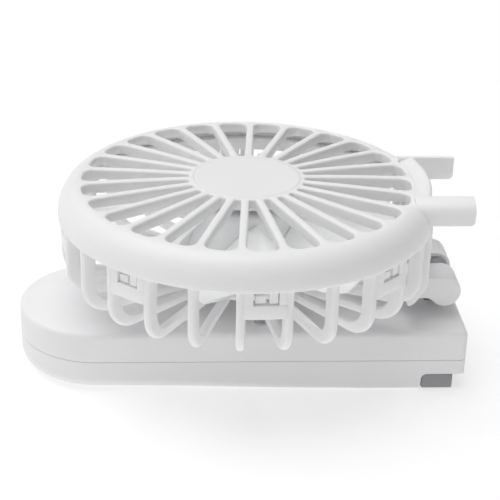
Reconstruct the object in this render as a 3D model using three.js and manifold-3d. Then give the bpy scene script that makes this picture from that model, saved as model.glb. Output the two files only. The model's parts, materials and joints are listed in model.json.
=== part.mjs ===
// Folding handheld fan: a round caged head folds flat over a stadium-shaped handle.
// Millimetres, +Z up. The handle lies on the face that looks at the user once the fan is open.
// Origin: middle of the handle's length and width, at its underside. The hinge is at the +X end.
import * as THREE from "three";
import { mergeVertices } from "three/addons/utils/BufferGeometryUtils.js";
import Module from "manifold-3d";

// Handle
const HANDLE_LENGTH = 114;
const HANDLE_WIDTH = 41;
const HANDLE_HEIGHT = 16.4;
const PARTING_HEIGHT = 8.4;
const PARTING_GAP = 0.3;
const EDGE_CHAMFER = 1;
const END_CORNER = 1.6;
const SHELL_WALL = 1.8;

// Notch under the hinge end, and the grey socket in it that takes the prongs
const NOTCH_LENGTH = 11.4;
const NOTCH_HEIGHT = 4.5;
const NOTCH_CEILING = 1.5;
const SOCKET_SETBACK = 3;
const SOCKET_SIDE_GAP = 0.5;
const SOCKET_ROOF = 0.8;

// Hinge
const LUG_WALL_GAP = 0.2;
const OPEN_GAP = 0.4;
const HINGE_RISE = 7.1;
const KNUCKLE_RADIUS = 4;
const KNUCKLE_SIDE_GAP = 0.8;
const KNUCKLE_INNER_Y = 3;
const PIN_RADIUS = 1.5;
const PIN_END_WALL = 2;
const LUG_RADIUS = 3.1;
const LUG_HALF_WIDTH = 2.1;
const WASHER_RADIUS = 3.6;
const WASHER_THICKNESS = 0.5;

// Head, measured down from the plane of its front face
const RING_RADIUS = 47.5;
const RING_BAND = 6;
const RING_DEPTH = 9;
const RING_WALL = 1.75;
const DOME_DROP = 1;
const HEAD_DEPTH = 27;
const HINGE_DEPTH = 26.9;
const AXIS_PAST_RING = 3.1;
const SPOKE_COUNT = 26;
const SPOKE_WIDTH = 1.9;
const SPOKE_DEPTH = 3;
const FIRST_SPOKE_DEG = -94.3;
const CAP_RADIUS = 13.5;
const CAP_THICKNESS = 1.6;
const GRILLE_HUB_RADIUS = 14.6;
const GRILLE_HUB_DEPTH = 3.2;

// Rear cage
const RIB_WIDTH = 2;
const RIB_DEPTH = 3.5;
const RIB_INSET = 0.6;
const BAR_THICKNESS = 2.6;
const RIB_CORNER = 7.4;
const REAR_HUB_RADIUS = 16.5;
const REAR_HUB_THICKNESS = 1.8;
const RIM_HEIGHT = 3.2;
const RIM_WIDTH = 2.1;
const TAB_COUNT = 8;
const TAB_HEIGHT = 6.8;
const TAB_THICKNESS = 1.4;

// Neck, arms and prongs
const NECK_INSET = 0.8;
const NECK_LIP = 1.1;
const NECK_WALL = 2;
const NECK_SLANT = 4;
const ARM_DROP = 1.8;
const PRONG_PAST_AXIS = 4.6;
const PRONG_INSET = 3.2;
const PRONG_WIDTH = 4.5;
const PRONG_HEIGHT = 6.1;
const PRONG_SIDE_HEIGHT = 3;

// Impeller and motor
const BLADE_COUNT = 7;
const BLADE_GAP = 3.9;
const BLADE_THICKNESS = 1.3;
const BLADE_HUB_HEIGHT = 12;
const BLADE_TIP_HEIGHT = 8.5;
const BLADE_CHORD_DEG = 42;
const BLADE_SWEEP_DEG = 14;
const IMPELLER_HUB_RADIUS = 14.8;
const IMPELLER_WALL = 1.4;
const IMPELLER_TOP = 5;
const IMPELLER_PLATE = 2;
const IMPELLER_HEIGHT = 15.5;
const CAN_WALL = 0.6;
const CAN_RECESS = 0.5;
const MAGNET_THICKNESS = 1.2;
const AIR_GAP = 0.6;
const TUBE_RADIUS = 4.2;
const TUBE_WALL = 1.1;
const TUBE_HEIGHT = 15.6;
const BOSS_RADIUS = 6.5;
const BOSS_HEIGHT = 2.7;
const SHAFT_RADIUS = 1;
const BEARING_HEIGHT = 2.5;
const STATOR_HEIGHT = 7.5;
const STATOR_BACK = 1.5;
const STATOR_FIT = 0.15;
const STATOR_DROP = 0.4;
const TOOTH_COUNT = 4;
const TOOTH_WIDTH = 2.4;
const SHOE_THICKNESS = 1.5;
const SHOE_DEG = 62;
const COIL_THICKNESS = 1.2;
const MOTOR_BOARD_THICKNESS = 1;

// Parts inside the handle
const BOARD_LENGTH = 30;
const BOARD_THICKNESS = 1.2;
const BOARD_TO_BRACKET = 3.2;
const BOARD_SIDE_GAP = 2;
const BATTERY_SIDE_GAP = 1.7;
const PAD_THICKNESS = 2.5;
const BRACKET_LENGTH = 12;
const BRACKET_THICKNESS = 3;
const BRACKET_SCREW_INSET = 4;
const BRACKET_SCREW_BACK = 4;
const SHELL_SCREW_INSET = 4.7;
const SHELL_SCREW_TO_BOARD = 4.4;
const SCREW_RADIUS = 0.95;
const SCREW_HEAD_RADIUS = 1.9;
const SCREW_HEAD_HEIGHT = 1.2;
const BOSS_WALL = 1.5;
const PORT_WIDTH = 9;
const PORT_HEIGHT = 3.2;
const PORT_LENGTH = 7.4;
const PORT_WALL = 0.35;
const PORT_TONGUE = 0.7;
const SWITCH_SIZE = 5;
const SWITCH_HEIGHT = 1.1;
const SWITCH_NUB_RADIUS = 1.2;
const SWITCH_NUB_HEIGHT = 0.3;
const BUTTON_RADIUS = 5;
const BUTTON_FLANGE = 1.2;
const BUTTON_FLANGE_THICKNESS = 0.8;
const BUTTON_RECESS = 0.4;
const BUTTON_TRAVEL = 0.5;
const BUTTON_PIN_HEIGHT = 0.2;
const BUTTON_STOP_GAP = 0.1;
const LAMP_COUNT = 4;
const LAMP_PITCH = 3;
const LAMP_RADIUS = 0.9;
const LAMP_TO_BUTTON = 9.5;
const WIRE_RADIUS = 0.6;
const CONNECTOR_HEIGHT = 4;

// Clearances
const RUNNING_GAP = 0.3;
const SEAT_GAP = 0.1;
const ROUND_STEPS = 20;
const RING_STEPS = 78;
const EDGE_STEPS = 10;

// Places worked out from the sizes above
const HANDLE_END = HANDLE_LENGTH / 2;
const HALF_WIDTH = HANDLE_WIDTH / 2;
const CEILING = HANDLE_HEIGHT - SHELL_WALL;
const HINGE_INSET = SHELL_WALL + LUG_WALL_GAP + LUG_RADIUS;
const NECK_GAP = HINGE_INSET + OPEN_GAP;
const AXIS_X = HANDLE_END - HINGE_INSET;
const AXIS_Z = HANDLE_HEIGHT + HINGE_RISE;
const HEAD_REACH = RING_RADIUS + AXIS_PAST_RING;
const HEAD_X = AXIS_X - HEAD_REACH;
const HEAD_TOP = AXIS_Z + HINGE_DEPTH;
const NECK_X = HEAD_REACH - NECK_GAP;
const SLOT_RADIUS = RING_RADIUS - RING_BAND;
const GUARD_RADIUS = RING_RADIUS - RIB_INSET - RIB_CORNER;
const BLADE_RADIUS = RING_RADIUS - RIB_INSET - RIB_DEPTH - BLADE_GAP;
const PRONG_INNER_Y = HALF_WIDTH - PRONG_INSET - PRONG_WIDTH;
const NECK_HALF_WIDTH = PRONG_INNER_Y + PRONG_WIDTH - NECK_INSET;
const KNUCKLE_OUTER_Y = PRONG_INNER_Y - KNUCKLE_SIDE_GAP;
const NOTCH_X = HANDLE_END - NOTCH_LENGTH;
const BRACKET_X = HANDLE_END - SHELL_WALL - RUNNING_GAP - BRACKET_LENGTH;
const BRACKET_BOTTOM = NOTCH_HEIGHT + NOTCH_CEILING + RUNNING_GAP;
const BOARD_END_X = BRACKET_X - BOARD_TO_BRACKET;
const BOARD_X = BOARD_END_X - BOARD_LENGTH;
const BRACKET_HALF_WIDTH = KNUCKLE_OUTER_Y;
const BRACKET_SCREW_X = BRACKET_X + BRACKET_SCREW_BACK;
const BRACKET_SCREW_Y = BRACKET_HALF_WIDTH - BRACKET_SCREW_INSET;
const BUTTON_SEAT = SHELL_WALL + SEAT_GAP;
const BUTTON_TOP = BUTTON_SEAT + BUTTON_FLANGE_THICKNESS + BUTTON_PIN_HEIGHT;
const SWITCH_NUB_BOTTOM = BUTTON_TOP + BUTTON_TRAVEL + BUTTON_STOP_GAP;
const SWITCH_BOTTOM = SWITCH_NUB_BOTTOM + SWITCH_NUB_HEIGHT;
const BOARD_BOTTOM = SWITCH_BOTTOM + SWITCH_HEIGHT + SEAT_GAP;
const BOARD_TOP = BOARD_BOTTOM + BOARD_THICKNESS;
const BATTERY_BOTTOM = SHELL_WALL + RUNNING_GAP;
const BATTERY_TOP = CEILING - RUNNING_GAP - PAD_THICKNESS - SEAT_GAP;
const BOARD_HALF_WIDTH = HALF_WIDTH - SHELL_WALL - BOARD_SIDE_GAP;
const BOARD_MID_X = (BOARD_X + BOARD_END_X) / 2;
const SHELL_SCREW_X = BOARD_X - SHELL_SCREW_TO_BOARD;
const SHELL_SCREW_Y = HALF_WIDTH - SHELL_WALL - SHELL_SCREW_INSET;
const SHELL_SCREW_SEAT = HANDLE_HEIGHT - SEAT_GAP * 2 - SCREW_HEAD_HEIGHT;
const HEAD_BOARD_TOP = -(HEAD_DEPTH - REAR_HUB_THICKNESS - BOSS_HEIGHT - SEAT_GAP - MOTOR_BOARD_THICKNESS);
const TUBE_BOTTOM = -(HEAD_DEPTH - REAR_HUB_THICKNESS - SEAT_GAP);
const TUBE_TOP = TUBE_BOTTOM + TUBE_HEIGHT;
const CAVITY_RADIUS = IMPELLER_HUB_RADIUS - IMPELLER_WALL;
const CAN_RADIUS = CAVITY_RADIUS - RUNNING_GAP;
const CAN_TOP = -(IMPELLER_TOP + IMPELLER_PLATE + RUNNING_GAP);
const IMPELLER_BOTTOM = -(IMPELLER_TOP + IMPELLER_HEIGHT);
const CAN_BOTTOM = IMPELLER_BOTTOM + CAN_RECESS;
const MAGNET_OUTER = CAN_RADIUS - CAN_WALL - SEAT_GAP * 2;
const MAGNET_INNER = MAGNET_OUTER - MAGNET_THICKNESS;
const STATOR_RADIUS = MAGNET_INNER - AIR_GAP;
const STATOR_BORE = TUBE_RADIUS + STATOR_FIT;
const STATOR_MIDDLE = (HEAD_BOARD_TOP + CAN_TOP) / 2 - STATOR_DROP;

const wasm = await Module();
wasm.setup();

// A closed three.js geometry as a solid that can be joined and cut.
function solid(geometry) {
  const bare = geometry.index ? geometry.toNonIndexed() : geometry.clone();
  for (const name of Object.keys(bare.attributes)) {
    if (name !== "position") bare.deleteAttribute(name);
  }
  const merged = mergeVertices(bare, 1e-4);
  return new wasm.Manifold(
    new wasm.Mesh({
      numProp: 3,
      vertProperties: merged.attributes.position.array,
      triVerts: new Uint32Array(merged.index.array),
    }),
  );
}

function join(first, ...rest) {
  return rest.reduce((sum, piece) => sum.add(piece), first);
}

function cut(body, ...tools) {
  return tools.reduce((left, tool) => left.subtract(tool), body);
}

// A box between two corners.
function box(x0, x1, y0, y1, z0, z1) {
  const block = new THREE.BoxGeometry(x1 - x0, y1 - y0, z1 - z0);
  return solid(block.translate((x0 + x1) / 2, (y0 + y1) / 2, (z0 + z1) / 2));
}

// A round bar standing on Z.
function post(x, y, z0, z1, radius, steps = ROUND_STEPS) {
  const bar = new THREE.CylinderGeometry(radius, radius, z1 - z0, steps);
  return solid(bar.rotateX(Math.PI / 2).translate(x, y, (z0 + z1) / 2));
}

// A round bar along Y.
function crossBar(x, z, y0, y1, radius, steps = ROUND_STEPS) {
  const bar = new THREE.CylinderGeometry(radius, radius, y1 - y0, steps);
  return solid(bar.translate(x, (y0 + y1) / 2, z));
}

// A solid of revolution about Z, from [radius, height] points listed anticlockwise.
function turned(points, steps = ROUND_STEPS) {
  const profile = points.map(([r, z]) => new THREE.Vector2(r, z));
  const onAxis = points[0][0] === 0;
  if (!onAxis) profile.push(profile[0].clone());
  return solid(new THREE.LatheGeometry(profile, steps).rotateX(Math.PI / 2));
}

function tube(outer, inner, z0, z1, steps = ROUND_STEPS) {
  return turned([[inner, z0], [outer, z0], [outer, z1], [inner, z1]], steps);
}

// The outline's points, each once, so that an extrusion has no empty faces.
function outlineOf(shape, steps) {
  const points = shape.getPoints(steps);
  return points.filter((p, i) => p.distanceTo(points[(i + 1) % points.length]) > 1e-4);
}

// A flat outline in X and Y, raised from z0 to z1.
function plate(shape, z0, z1, steps = 6) {
  const clean = new THREE.Shape(outlineOf(shape, steps));
  const options = { depth: z1 - z0, bevelEnabled: false };
  return solid(new THREE.ExtrudeGeometry(clean, options).translate(0, 0, z0));
}

// An outline of [X, Z] points, thickened along Y.
function upright(points, y0, y1) {
  const shape = new THREE.Shape(points.map(([x, z]) => new THREE.Vector2(x, z)));
  const options = { depth: y1 - y0, bevelEnabled: false };
  const slab = new THREE.ExtrudeGeometry(shape, options).rotateX(Math.PI / 2);
  return solid(slab.translate(0, y1, 0));
}

// An outline of [Y, Z] points, drawn out along X.
function rail(points, x0, x1) {
  const shape = new THREE.Shape(points.map(([y, z]) => new THREE.Vector2(y, z)));
  const options = { depth: x1 - x0, bevelEnabled: false };
  const bar = new THREE.ExtrudeGeometry(shape, options);
  return solid(bar.rotateX(Math.PI / 2).rotateZ(Math.PI / 2).translate(x0, 0, 0));
}

// The same geometry turned about Z.
function turn(geometry, degrees) {
  return solid(geometry.clone().rotateZ(THREE.MathUtils.degToRad(degrees)));
}

function plastic(color, roughness = 0.45) {
  return new THREE.MeshStandardMaterial({ color, roughness, metalness: 0 });
}

function metal(color, roughness = 0.35) {
  return new THREE.MeshStandardMaterial({ color, roughness, metalness: 1 });
}

const WHITE = plastic("#eeeeee");
const SHELL_WHITE = plastic("#e6e6e8");
const BLADE_WHITE = plastic("#dde2e6", 0.3);
const DARK_GREY = plastic("#77787b", 0.6);
const BLACK = plastic("#222326", 0.5);
const STEEL = metal("#b8bbc0");
const BRASS = metal("#c9a655");
const COPPER = metal("#b8693a");
const IRON = metal("#6b6f76", 0.5);
const FIBREGLASS = plastic("#1f5a3a", 0.5);
const FOIL = plastic("#9fa6ad", 0.4);
const FOAM = plastic("#3a3a3c", 0.9);
const CLEAR = plastic("#dfe8ee", 0.2);
const RED = plastic("#b3261e");

function mesh(name, body, material) {
  const raw = body.getMesh();
  const geometry = new THREE.BufferGeometry();
  geometry.setAttribute("position", new THREE.BufferAttribute(raw.vertProperties, 3));
  geometry.setIndex(new THREE.BufferAttribute(raw.triVerts, 1));
  geometry.computeVertexNormals();
  const made = new THREE.Mesh(geometry, material);
  made.name = name;
  return made;
}

// ---- Head: front grille ----

// Height of the gently domed front at a radius.
function domeAt(radius) {
  return -DOME_DROP * (radius / SLOT_RADIUS) ** 2;
}

function ringBody() {
  const outer = [];
  for (let i = 0; i <= 5; i++) {
    const angle = (Math.PI / 2) * (1 - i / 5);
    const x = SLOT_RADIUS + RING_BAND * Math.cos(angle);
    outer.push([x, -DOME_DROP - (RING_DEPTH - 1 - DOME_DROP) * (1 - Math.sin(angle))]);
  }
  const inner = RING_RADIUS - RING_WALL;
  const profile = [
    [SLOT_RADIUS, -DOME_DROP - 2.6],
    [inner - 1.9, -DOME_DROP - 2.9],
    [inner, -RING_DEPTH + RIM_HEIGHT - 0.2],
    [inner, -RING_DEPTH],
    [RING_RADIUS, -RING_DEPTH],
    ...outer.reverse(),
  ];
  return turned(profile, RING_STEPS);
}

function spoke(index) {
  const inside = GRILLE_HUB_RADIUS - 1;
  const outside = SLOT_RADIUS - RUNNING_GAP;
  const profile = [
    [inside, domeAt(inside) - 0.15],
    [inside, -SPOKE_DEPTH],
    [outside, -DOME_DROP - SPOKE_DEPTH + 0.5],
    [outside, domeAt(outside) - 0.15],
  ];
  const shape = new THREE.Shape(profile.map(([x, z]) => new THREE.Vector2(x, z)));
  const slab = new THREE.ExtrudeGeometry(shape, { depth: SPOKE_WIDTH, bevelEnabled: false });
  slab.rotateX(Math.PI / 2).translate(0, SPOKE_WIDTH / 2, 0);
  return turn(slab, FIRST_SPOKE_DEG + (360 / SPOKE_COUNT) * index);
}

function grilleHub() {
  const recess = CAP_RADIUS + RUNNING_GAP;
  return turned(
    [
      [0, -GRILLE_HUB_DEPTH],
      [GRILLE_HUB_RADIUS, -GRILLE_HUB_DEPTH],
      [GRILLE_HUB_RADIUS, -0.3],
      [recess, -0.3],
      [recess, -CAP_THICKNESS - SEAT_GAP],
      [0, -CAP_THICKNESS - SEAT_GAP],
    ],
    39,
  );
}

// The flat-topped plate that carries the prongs, ending in a round lip.
function neckPlate() {
  const lip = RING_RADIUS - NECK_LIP;
  const start = SLOT_RADIUS + 0.6;
  const half = PRONG_INNER_Y + 0.3;
  const outer = Math.asin(half / lip);
  const inner = Math.asin(half / start);
  const shape = new THREE.Shape();
  shape.absarc(0, 0, lip, -outer, outer, false);
  shape.absarc(0, 0, start, inner, -inner, true);
  shape.closePath();
  return plate(shape, -PRONG_HEIGHT, 0, 10);
}

function prong(side) {
  const outer = PRONG_INNER_Y + PRONG_WIDTH;
  const drop = PRONG_HEIGHT - PRONG_SIDE_HEIGHT;
  const profile = [[side * PRONG_INNER_Y, -PRONG_HEIGHT], [side * outer, -PRONG_HEIGHT]];
  for (let i = 0; i <= 5; i++) {
    const angle = (Math.PI / 2) * (i / 5);
    profile.push([
      side * (PRONG_INNER_Y + PRONG_WIDTH * Math.cos(angle)),
      -drop + drop * Math.sin(angle),
    ]);
  }
  if (side < 0) profile.reverse();
  const root = Math.sqrt((SLOT_RADIUS + 0.6) ** 2 - PRONG_INNER_Y ** 2);
  return rail(profile, root, HEAD_REACH + PRONG_PAST_AXIS);
}

function frontRing() {
  const bandCut = box(
    SLOT_RADIUS - 3,
    RING_RADIUS + 1,
    -NECK_HALF_WIDTH - RUNNING_GAP,
    NECK_HALF_WIDTH + RUNNING_GAP,
    -RING_DEPTH - 1,
    -PRONG_HEIGHT - 0.05,
  );
  const ring = cut(ringBody(), bandCut);
  return mesh("front_ring", join(ring, neckPlate(), prong(1), prong(-1)), WHITE);
}

function frontGrille() {
  const spokes = [];
  for (let i = 0; i < SPOKE_COUNT; i++) spokes.push(spoke(i));
  return mesh("front_grille", join(grilleHub(), ...spokes), WHITE);
}

function grilleCap() {
  const edge = 0.3;
  const profile = [
    [0, -CAP_THICKNESS],
    [CAP_RADIUS, -CAP_THICKNESS],
    [CAP_RADIUS, -edge],
    [CAP_RADIUS - edge, 0],
    [0, 0],
  ];
  return mesh("grille_cap", turned(profile, 39), WHITE);
}

// ---- Head: rear cage ----

// One rib, down the side and round the corner to the back.
function rib(index) {
  const outer = RING_RADIUS - RIB_INSET;
  const inner = outer - RIB_DEPTH;
  const top = -RING_DEPTH - RUNNING_GAP;
  const bottom = -HEAD_DEPTH;
  const profile = [[inner, top], [outer, top]];
  for (let i = 0; i <= 3; i++) {
    const angle = (Math.PI / 2) * (i / 3);
    profile.push([
      outer - RIB_CORNER * (1 - Math.cos(angle)),
      bottom + RIB_CORNER * (1 - Math.sin(angle)),
    ]);
  }
  const bend = RIB_CORNER - BAR_THICKNESS;
  for (let i = 3; i >= 0; i--) {
    const angle = (Math.PI / 2) * (i / 3);
    profile.push([
      inner - bend * (1 - Math.cos(angle)),
      bottom + BAR_THICKNESS + bend * (1 - Math.sin(angle)),
    ]);
  }
  profile.reverse();
  const shape = new THREE.Shape(profile.map(([x, z]) => new THREE.Vector2(x, z)));
  const slab = new THREE.ExtrudeGeometry(shape, { depth: RIB_WIDTH, bevelEnabled: false });
  slab.rotateX(Math.PI / 2).translate(0, RIB_WIDTH / 2, 0);
  return turn(slab, FIRST_SPOKE_DEG + (360 / SPOKE_COUNT) * index);
}

function rim() {
  const outer = RING_RADIUS - RING_WALL - RUNNING_GAP;
  const bottom = -RING_DEPTH - RUNNING_GAP - 0.3;
  return tube(outer, outer - RIM_WIDTH, bottom, bottom + RIM_HEIGHT, RING_STEPS);
}

// A snap tab: a short panel that joins two ribs under the ring.
function tab(gap) {
  const pitch = 360 / SPOKE_COUNT;
  const half = THREE.MathUtils.degToRad(pitch / 2);
  const outer = RING_RADIUS - RIB_INSET - 0.4;
  const middle = THREE.MathUtils.degToRad(FIRST_SPOKE_DEG + pitch * (gap + 0.5));
  const shape = new THREE.Shape();
  shape.absarc(0, 0, outer, middle - half, middle + half, false);
  shape.absarc(0, 0, outer - TAB_THICKNESS, middle + half, middle - half, true);
  shape.closePath();
  return plate(shape, -RING_DEPTH - TAB_HEIGHT, -RING_DEPTH - RUNNING_GAP, 2);
}

function tabGaps() {
  const gaps = [];
  for (let i = 0; i < TAB_COUNT; i++) gaps.push(Math.round((i * SPOKE_COUNT) / TAB_COUNT));
  return gaps.filter((gap) => {
    const middle = FIRST_SPOKE_DEG + (360 / SPOKE_COUNT) * (gap + 0.5);
    return Math.cos(THREE.MathUtils.degToRad(middle)) < 0.9;
  });
}

// One bar of the back, from the hub out to where its rib starts.
function backBar(index) {
  const inside = REAR_HUB_RADIUS - 1;
  const length = GUARD_RADIUS - RUNNING_GAP - inside;
  const bar = new THREE.BoxGeometry(length, RIB_WIDTH, BAR_THICKNESS);
  bar.translate(inside + length / 2, 0, -HEAD_DEPTH + BAR_THICKNESS / 2);
  return turn(bar, FIRST_SPOKE_DEG + (360 / SPOKE_COUNT) * index);
}

function rearGuard() {
  const bars = [];
  for (let i = 0; i < SPOKE_COUNT; i++) bars.push(backBar(i));
  return mesh("rear_guard", join(rearHub(), ...bars), WHITE);
}

function rearHub() {
  const top = -HEAD_DEPTH + REAR_HUB_THICKNESS;
  const bore = TUBE_RADIUS + SEAT_GAP;
  return turned(
    [
      [0, -HEAD_DEPTH],
      [REAR_HUB_RADIUS, -HEAD_DEPTH],
      [REAR_HUB_RADIUS, top],
      [BOSS_RADIUS, top],
      [BOSS_RADIUS, top + BOSS_HEIGHT],
      [bore, top + BOSS_HEIGHT],
      [bore, top],
      [0, top],
    ],
    26,
  );
}

// The box-shaped neck: an end wall, two cheeks and a slanted foot.
function neckBlock() {
  const top = -PRONG_HEIGHT - RUNNING_GAP;
  const bottom = -HINGE_DEPTH - ARM_DROP;
  const back = NECK_X - NECK_SLANT - 1;
  const profile = [
    [back, top],
    [NECK_X, top],
    [NECK_X, bottom + NECK_SLANT + ARM_DROP],
    [NECK_X - NECK_SLANT, bottom],
    [back, bottom],
  ];
  const block = upright(profile.reverse(), -NECK_HALF_WIDTH, NECK_HALF_WIDTH);
  const inside = NECK_HALF_WIDTH - NECK_WALL;
  const room = box(back - 1, NECK_X - NECK_WALL, -inside, inside, bottom + NECK_WALL, top + 1);
  return cut(block, room);
}

// A hinge knuckle on its arm, with a blind hole for the pin.
function knuckle(side) {
  const y0 = side > 0 ? KNUCKLE_INNER_Y : -KNUCKLE_OUTER_Y;
  const y1 = side > 0 ? KNUCKLE_OUTER_Y : -KNUCKLE_INNER_Y;
  const back = NECK_X - NECK_SLANT;
  const lower = -HINGE_DEPTH - ARM_DROP;
  const arm = box(back, HEAD_REACH, y0, y1, lower, -HINGE_DEPTH + KNUCKLE_RADIUS - 0.05);
  return join(arm, crossBar(HEAD_REACH, -HINGE_DEPTH, y0, y1, KNUCKLE_RADIUS, 24));
}

function pinHole() {
  const reach = KNUCKLE_OUTER_Y - PIN_END_WALL;
  return crossBar(HEAD_REACH, -HINGE_DEPTH, -reach, reach, PIN_RADIUS + 0.2);
}

function rearCage() {
  const ribs = [];
  for (let i = 0; i < SPOKE_COUNT; i++) ribs.push(rib(i));
  const core = post(0, 0, -HEAD_DEPTH - 1, 0, GUARD_RADIUS, RING_STEPS);
  const cage = cut(join(rim(), ...ribs, ...tabGaps().map(tab)), core);
  const side = NECK_HALF_WIDTH + 0.01;
  const beyond = box(NECK_X, RING_RADIUS + 1, -side, side, -HEAD_DEPTH - 1, -PRONG_HEIGHT);
  const body = join(cut(cage, beyond), neckBlock(), knuckle(1), knuckle(-1));
  return mesh("rear_cage", cut(body, pinHole()), WHITE);
}

function hingePin() {
  const reach = KNUCKLE_OUTER_Y - PIN_END_WALL - RUNNING_GAP;
  return mesh("hinge_pin", crossBar(HEAD_REACH, -HINGE_DEPTH, -reach, reach, PIN_RADIUS), STEEL);
}

// ---- Head: motor ----

function bearingTube() {
  const body = tube(TUBE_RADIUS, TUBE_RADIUS - TUBE_WALL, TUBE_BOTTOM, TUBE_TOP);
  return mesh("bearing_tube", body, BRASS);
}

function bearing(name, bottom) {
  const outer = TUBE_RADIUS - TUBE_WALL - SEAT_GAP;
  return mesh(name, tube(outer, SHAFT_RADIUS + SEAT_GAP, bottom, bottom + BEARING_HEIGHT), IRON);
}

function toothShape(turnDeg) {
  const start = STATOR_BORE + 0.5;
  const stop = STATOR_RADIUS - SHOE_THICKNESS + 0.3;
  const stem = new THREE.BoxGeometry(stop - start, TOOTH_WIDTH, STATOR_HEIGHT);
  stem.translate((start + stop) / 2, 0, STATOR_MIDDLE);
  const half = THREE.MathUtils.degToRad(SHOE_DEG / 2);
  const shape = new THREE.Shape();
  shape.absarc(0, 0, STATOR_RADIUS, -half, half, false);
  shape.absarc(0, 0, STATOR_RADIUS - SHOE_THICKNESS, half, -half, true);
  shape.closePath();
  const options = { depth: STATOR_HEIGHT, bevelEnabled: false };
  const shoe = new THREE.ExtrudeGeometry(new THREE.Shape(outlineOf(shape, 6)), options);
  shoe.translate(0, 0, STATOR_MIDDLE - STATOR_HEIGHT / 2);
  return join(turn(stem, turnDeg), turn(shoe, turnDeg));
}

function statorCore() {
  const low = STATOR_MIDDLE - STATOR_HEIGHT / 2;
  const back = tube(STATOR_BORE + STATOR_BACK, STATOR_BORE, low, low + STATOR_HEIGHT);
  const teeth = [];
  for (let i = 0; i < TOOTH_COUNT; i++) teeth.push(toothShape((360 / TOOTH_COUNT) * i));
  return mesh("stator_core", join(back, ...teeth), IRON);
}

function coil(index) {
  const inner = STATOR_BORE + STATOR_BACK + RUNNING_GAP;
  const wide = TOOTH_WIDTH + 2 * SEAT_GAP;
  const corner = wide / 2 + COIL_THICKNESS;
  const outer = Math.sqrt((STATOR_RADIUS - SHOE_THICKNESS - RUNNING_GAP) ** 2 - corner ** 2);
  const tall = STATOR_HEIGHT + 2 * SEAT_GAP;
  const angle = (360 / TOOTH_COUNT) * index;
  const middle = (inner + outer) / 2;
  const around = 2 * COIL_THICKNESS;
  const winding = new THREE.BoxGeometry(outer - inner, wide + around, tall + around);
  const hole = new THREE.BoxGeometry(outer - inner + 1, wide, tall);
  winding.translate(middle, 0, STATOR_MIDDLE);
  hole.translate(middle, 0, STATOR_MIDDLE);
  return mesh("coil_" + (index + 1), cut(turn(winding, angle), turn(hole, angle)), COPPER);
}

function motorBoard() {
  const bottom = HEAD_BOARD_TOP - MOTOR_BOARD_THICKNESS;
  const body = tube(STATOR_RADIUS, TUBE_RADIUS + RUNNING_GAP, bottom, HEAD_BOARD_TOP);
  return mesh("motor_board", body, FIBREGLASS);
}

// ---- Head: turning parts ----

// A blade is a flat slab bent onto a screw surface round the hub.
function blade(index) {
  const slab = new THREE.BoxGeometry(1, 1, 1, 4, 5, 1);
  const place = slab.attributes.position;
  const middle = -(IMPELLER_TOP + IMPELLER_HEIGHT / 2);
  const root = IMPELLER_HUB_RADIUS - IMPELLER_WALL / 2;
  for (let i = 0; i < place.count; i++) {
    const out = place.getX(i) + 0.5;
    const chord = place.getY(i);
    const side = place.getZ(i);
    const radius = root + (BLADE_RADIUS - root) * out;
    const rounding = 1 - 0.22 * Math.max(0, out - 0.6) * Math.abs(chord) * 5;
    const degrees = BLADE_CHORD_DEG * chord * rounding + BLADE_SWEEP_DEG * out;
    const angle = THREE.MathUtils.degToRad(degrees + (360 / BLADE_COUNT) * index);
    const height = BLADE_HUB_HEIGHT + (BLADE_TIP_HEIGHT - BLADE_HUB_HEIGHT) * out;
    const camber = 1.2 * (1 - 4 * chord * chord) * (1 - 0.5 * out);
    const z = middle + chord * height + camber + side * BLADE_THICKNESS;
    place.setXYZ(i, radius * Math.cos(angle), radius * Math.sin(angle), z);
  }
  return solid(slab);
}

function impeller() {
  const top = -IMPELLER_TOP;
  const under = top - IMPELLER_PLATE;
  const bore = SHAFT_RADIUS + SEAT_GAP;
  const hub = turned(
    [
      [bore, under],
      [CAVITY_RADIUS, under],
      [CAVITY_RADIUS, IMPELLER_BOTTOM],
      [IMPELLER_HUB_RADIUS, IMPELLER_BOTTOM],
      [IMPELLER_HUB_RADIUS, top - 1.2],
      [IMPELLER_HUB_RADIUS - 1.2, top],
      [0, top],
      [0, top - 0.8],
      [bore, top - 0.8],
    ],
    28,
  );
  const blades = [];
  for (let i = 0; i < BLADE_COUNT; i++) blades.push(blade(i));
  return mesh("impeller", join(hub, ...blades), BLADE_WHITE);
}

function rotorCan() {
  const inner = CAN_RADIUS - CAN_WALL;
  const bore = SHAFT_RADIUS + SEAT_GAP;
  const under = CAN_TOP - CAN_WALL;
  const profile = [
    [bore, under],
    [inner, under],
    [inner, CAN_BOTTOM],
    [CAN_RADIUS, CAN_BOTTOM],
    [CAN_RADIUS, CAN_TOP],
    [bore, CAN_TOP],
  ];
  return mesh("rotor_can", turned(profile, 28), STEEL);
}

function magnetRing() {
  const body = tube(MAGNET_OUTER, MAGNET_INNER, CAN_BOTTOM + 0.3, CAN_TOP - CAN_WALL - 1.2, 28);
  return mesh("magnet_ring", body, BLACK);
}

function motorShaft() {
  const body = post(0, 0, TUBE_BOTTOM + 0.3, -IMPELLER_TOP - 0.8 - SEAT_GAP, SHAFT_RADIUS);
  return mesh("motor_shaft", body, STEEL);
}

function shaftClip() {
  const bottom = TUBE_BOTTOM + 0.5;
  const outer = TUBE_RADIUS - TUBE_WALL - 0.4;
  return mesh("shaft_clip", tube(outer, SHAFT_RADIUS + 0.05, bottom, bottom + 0.4), STEEL);
}

// ---- Handle: shells ----

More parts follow.
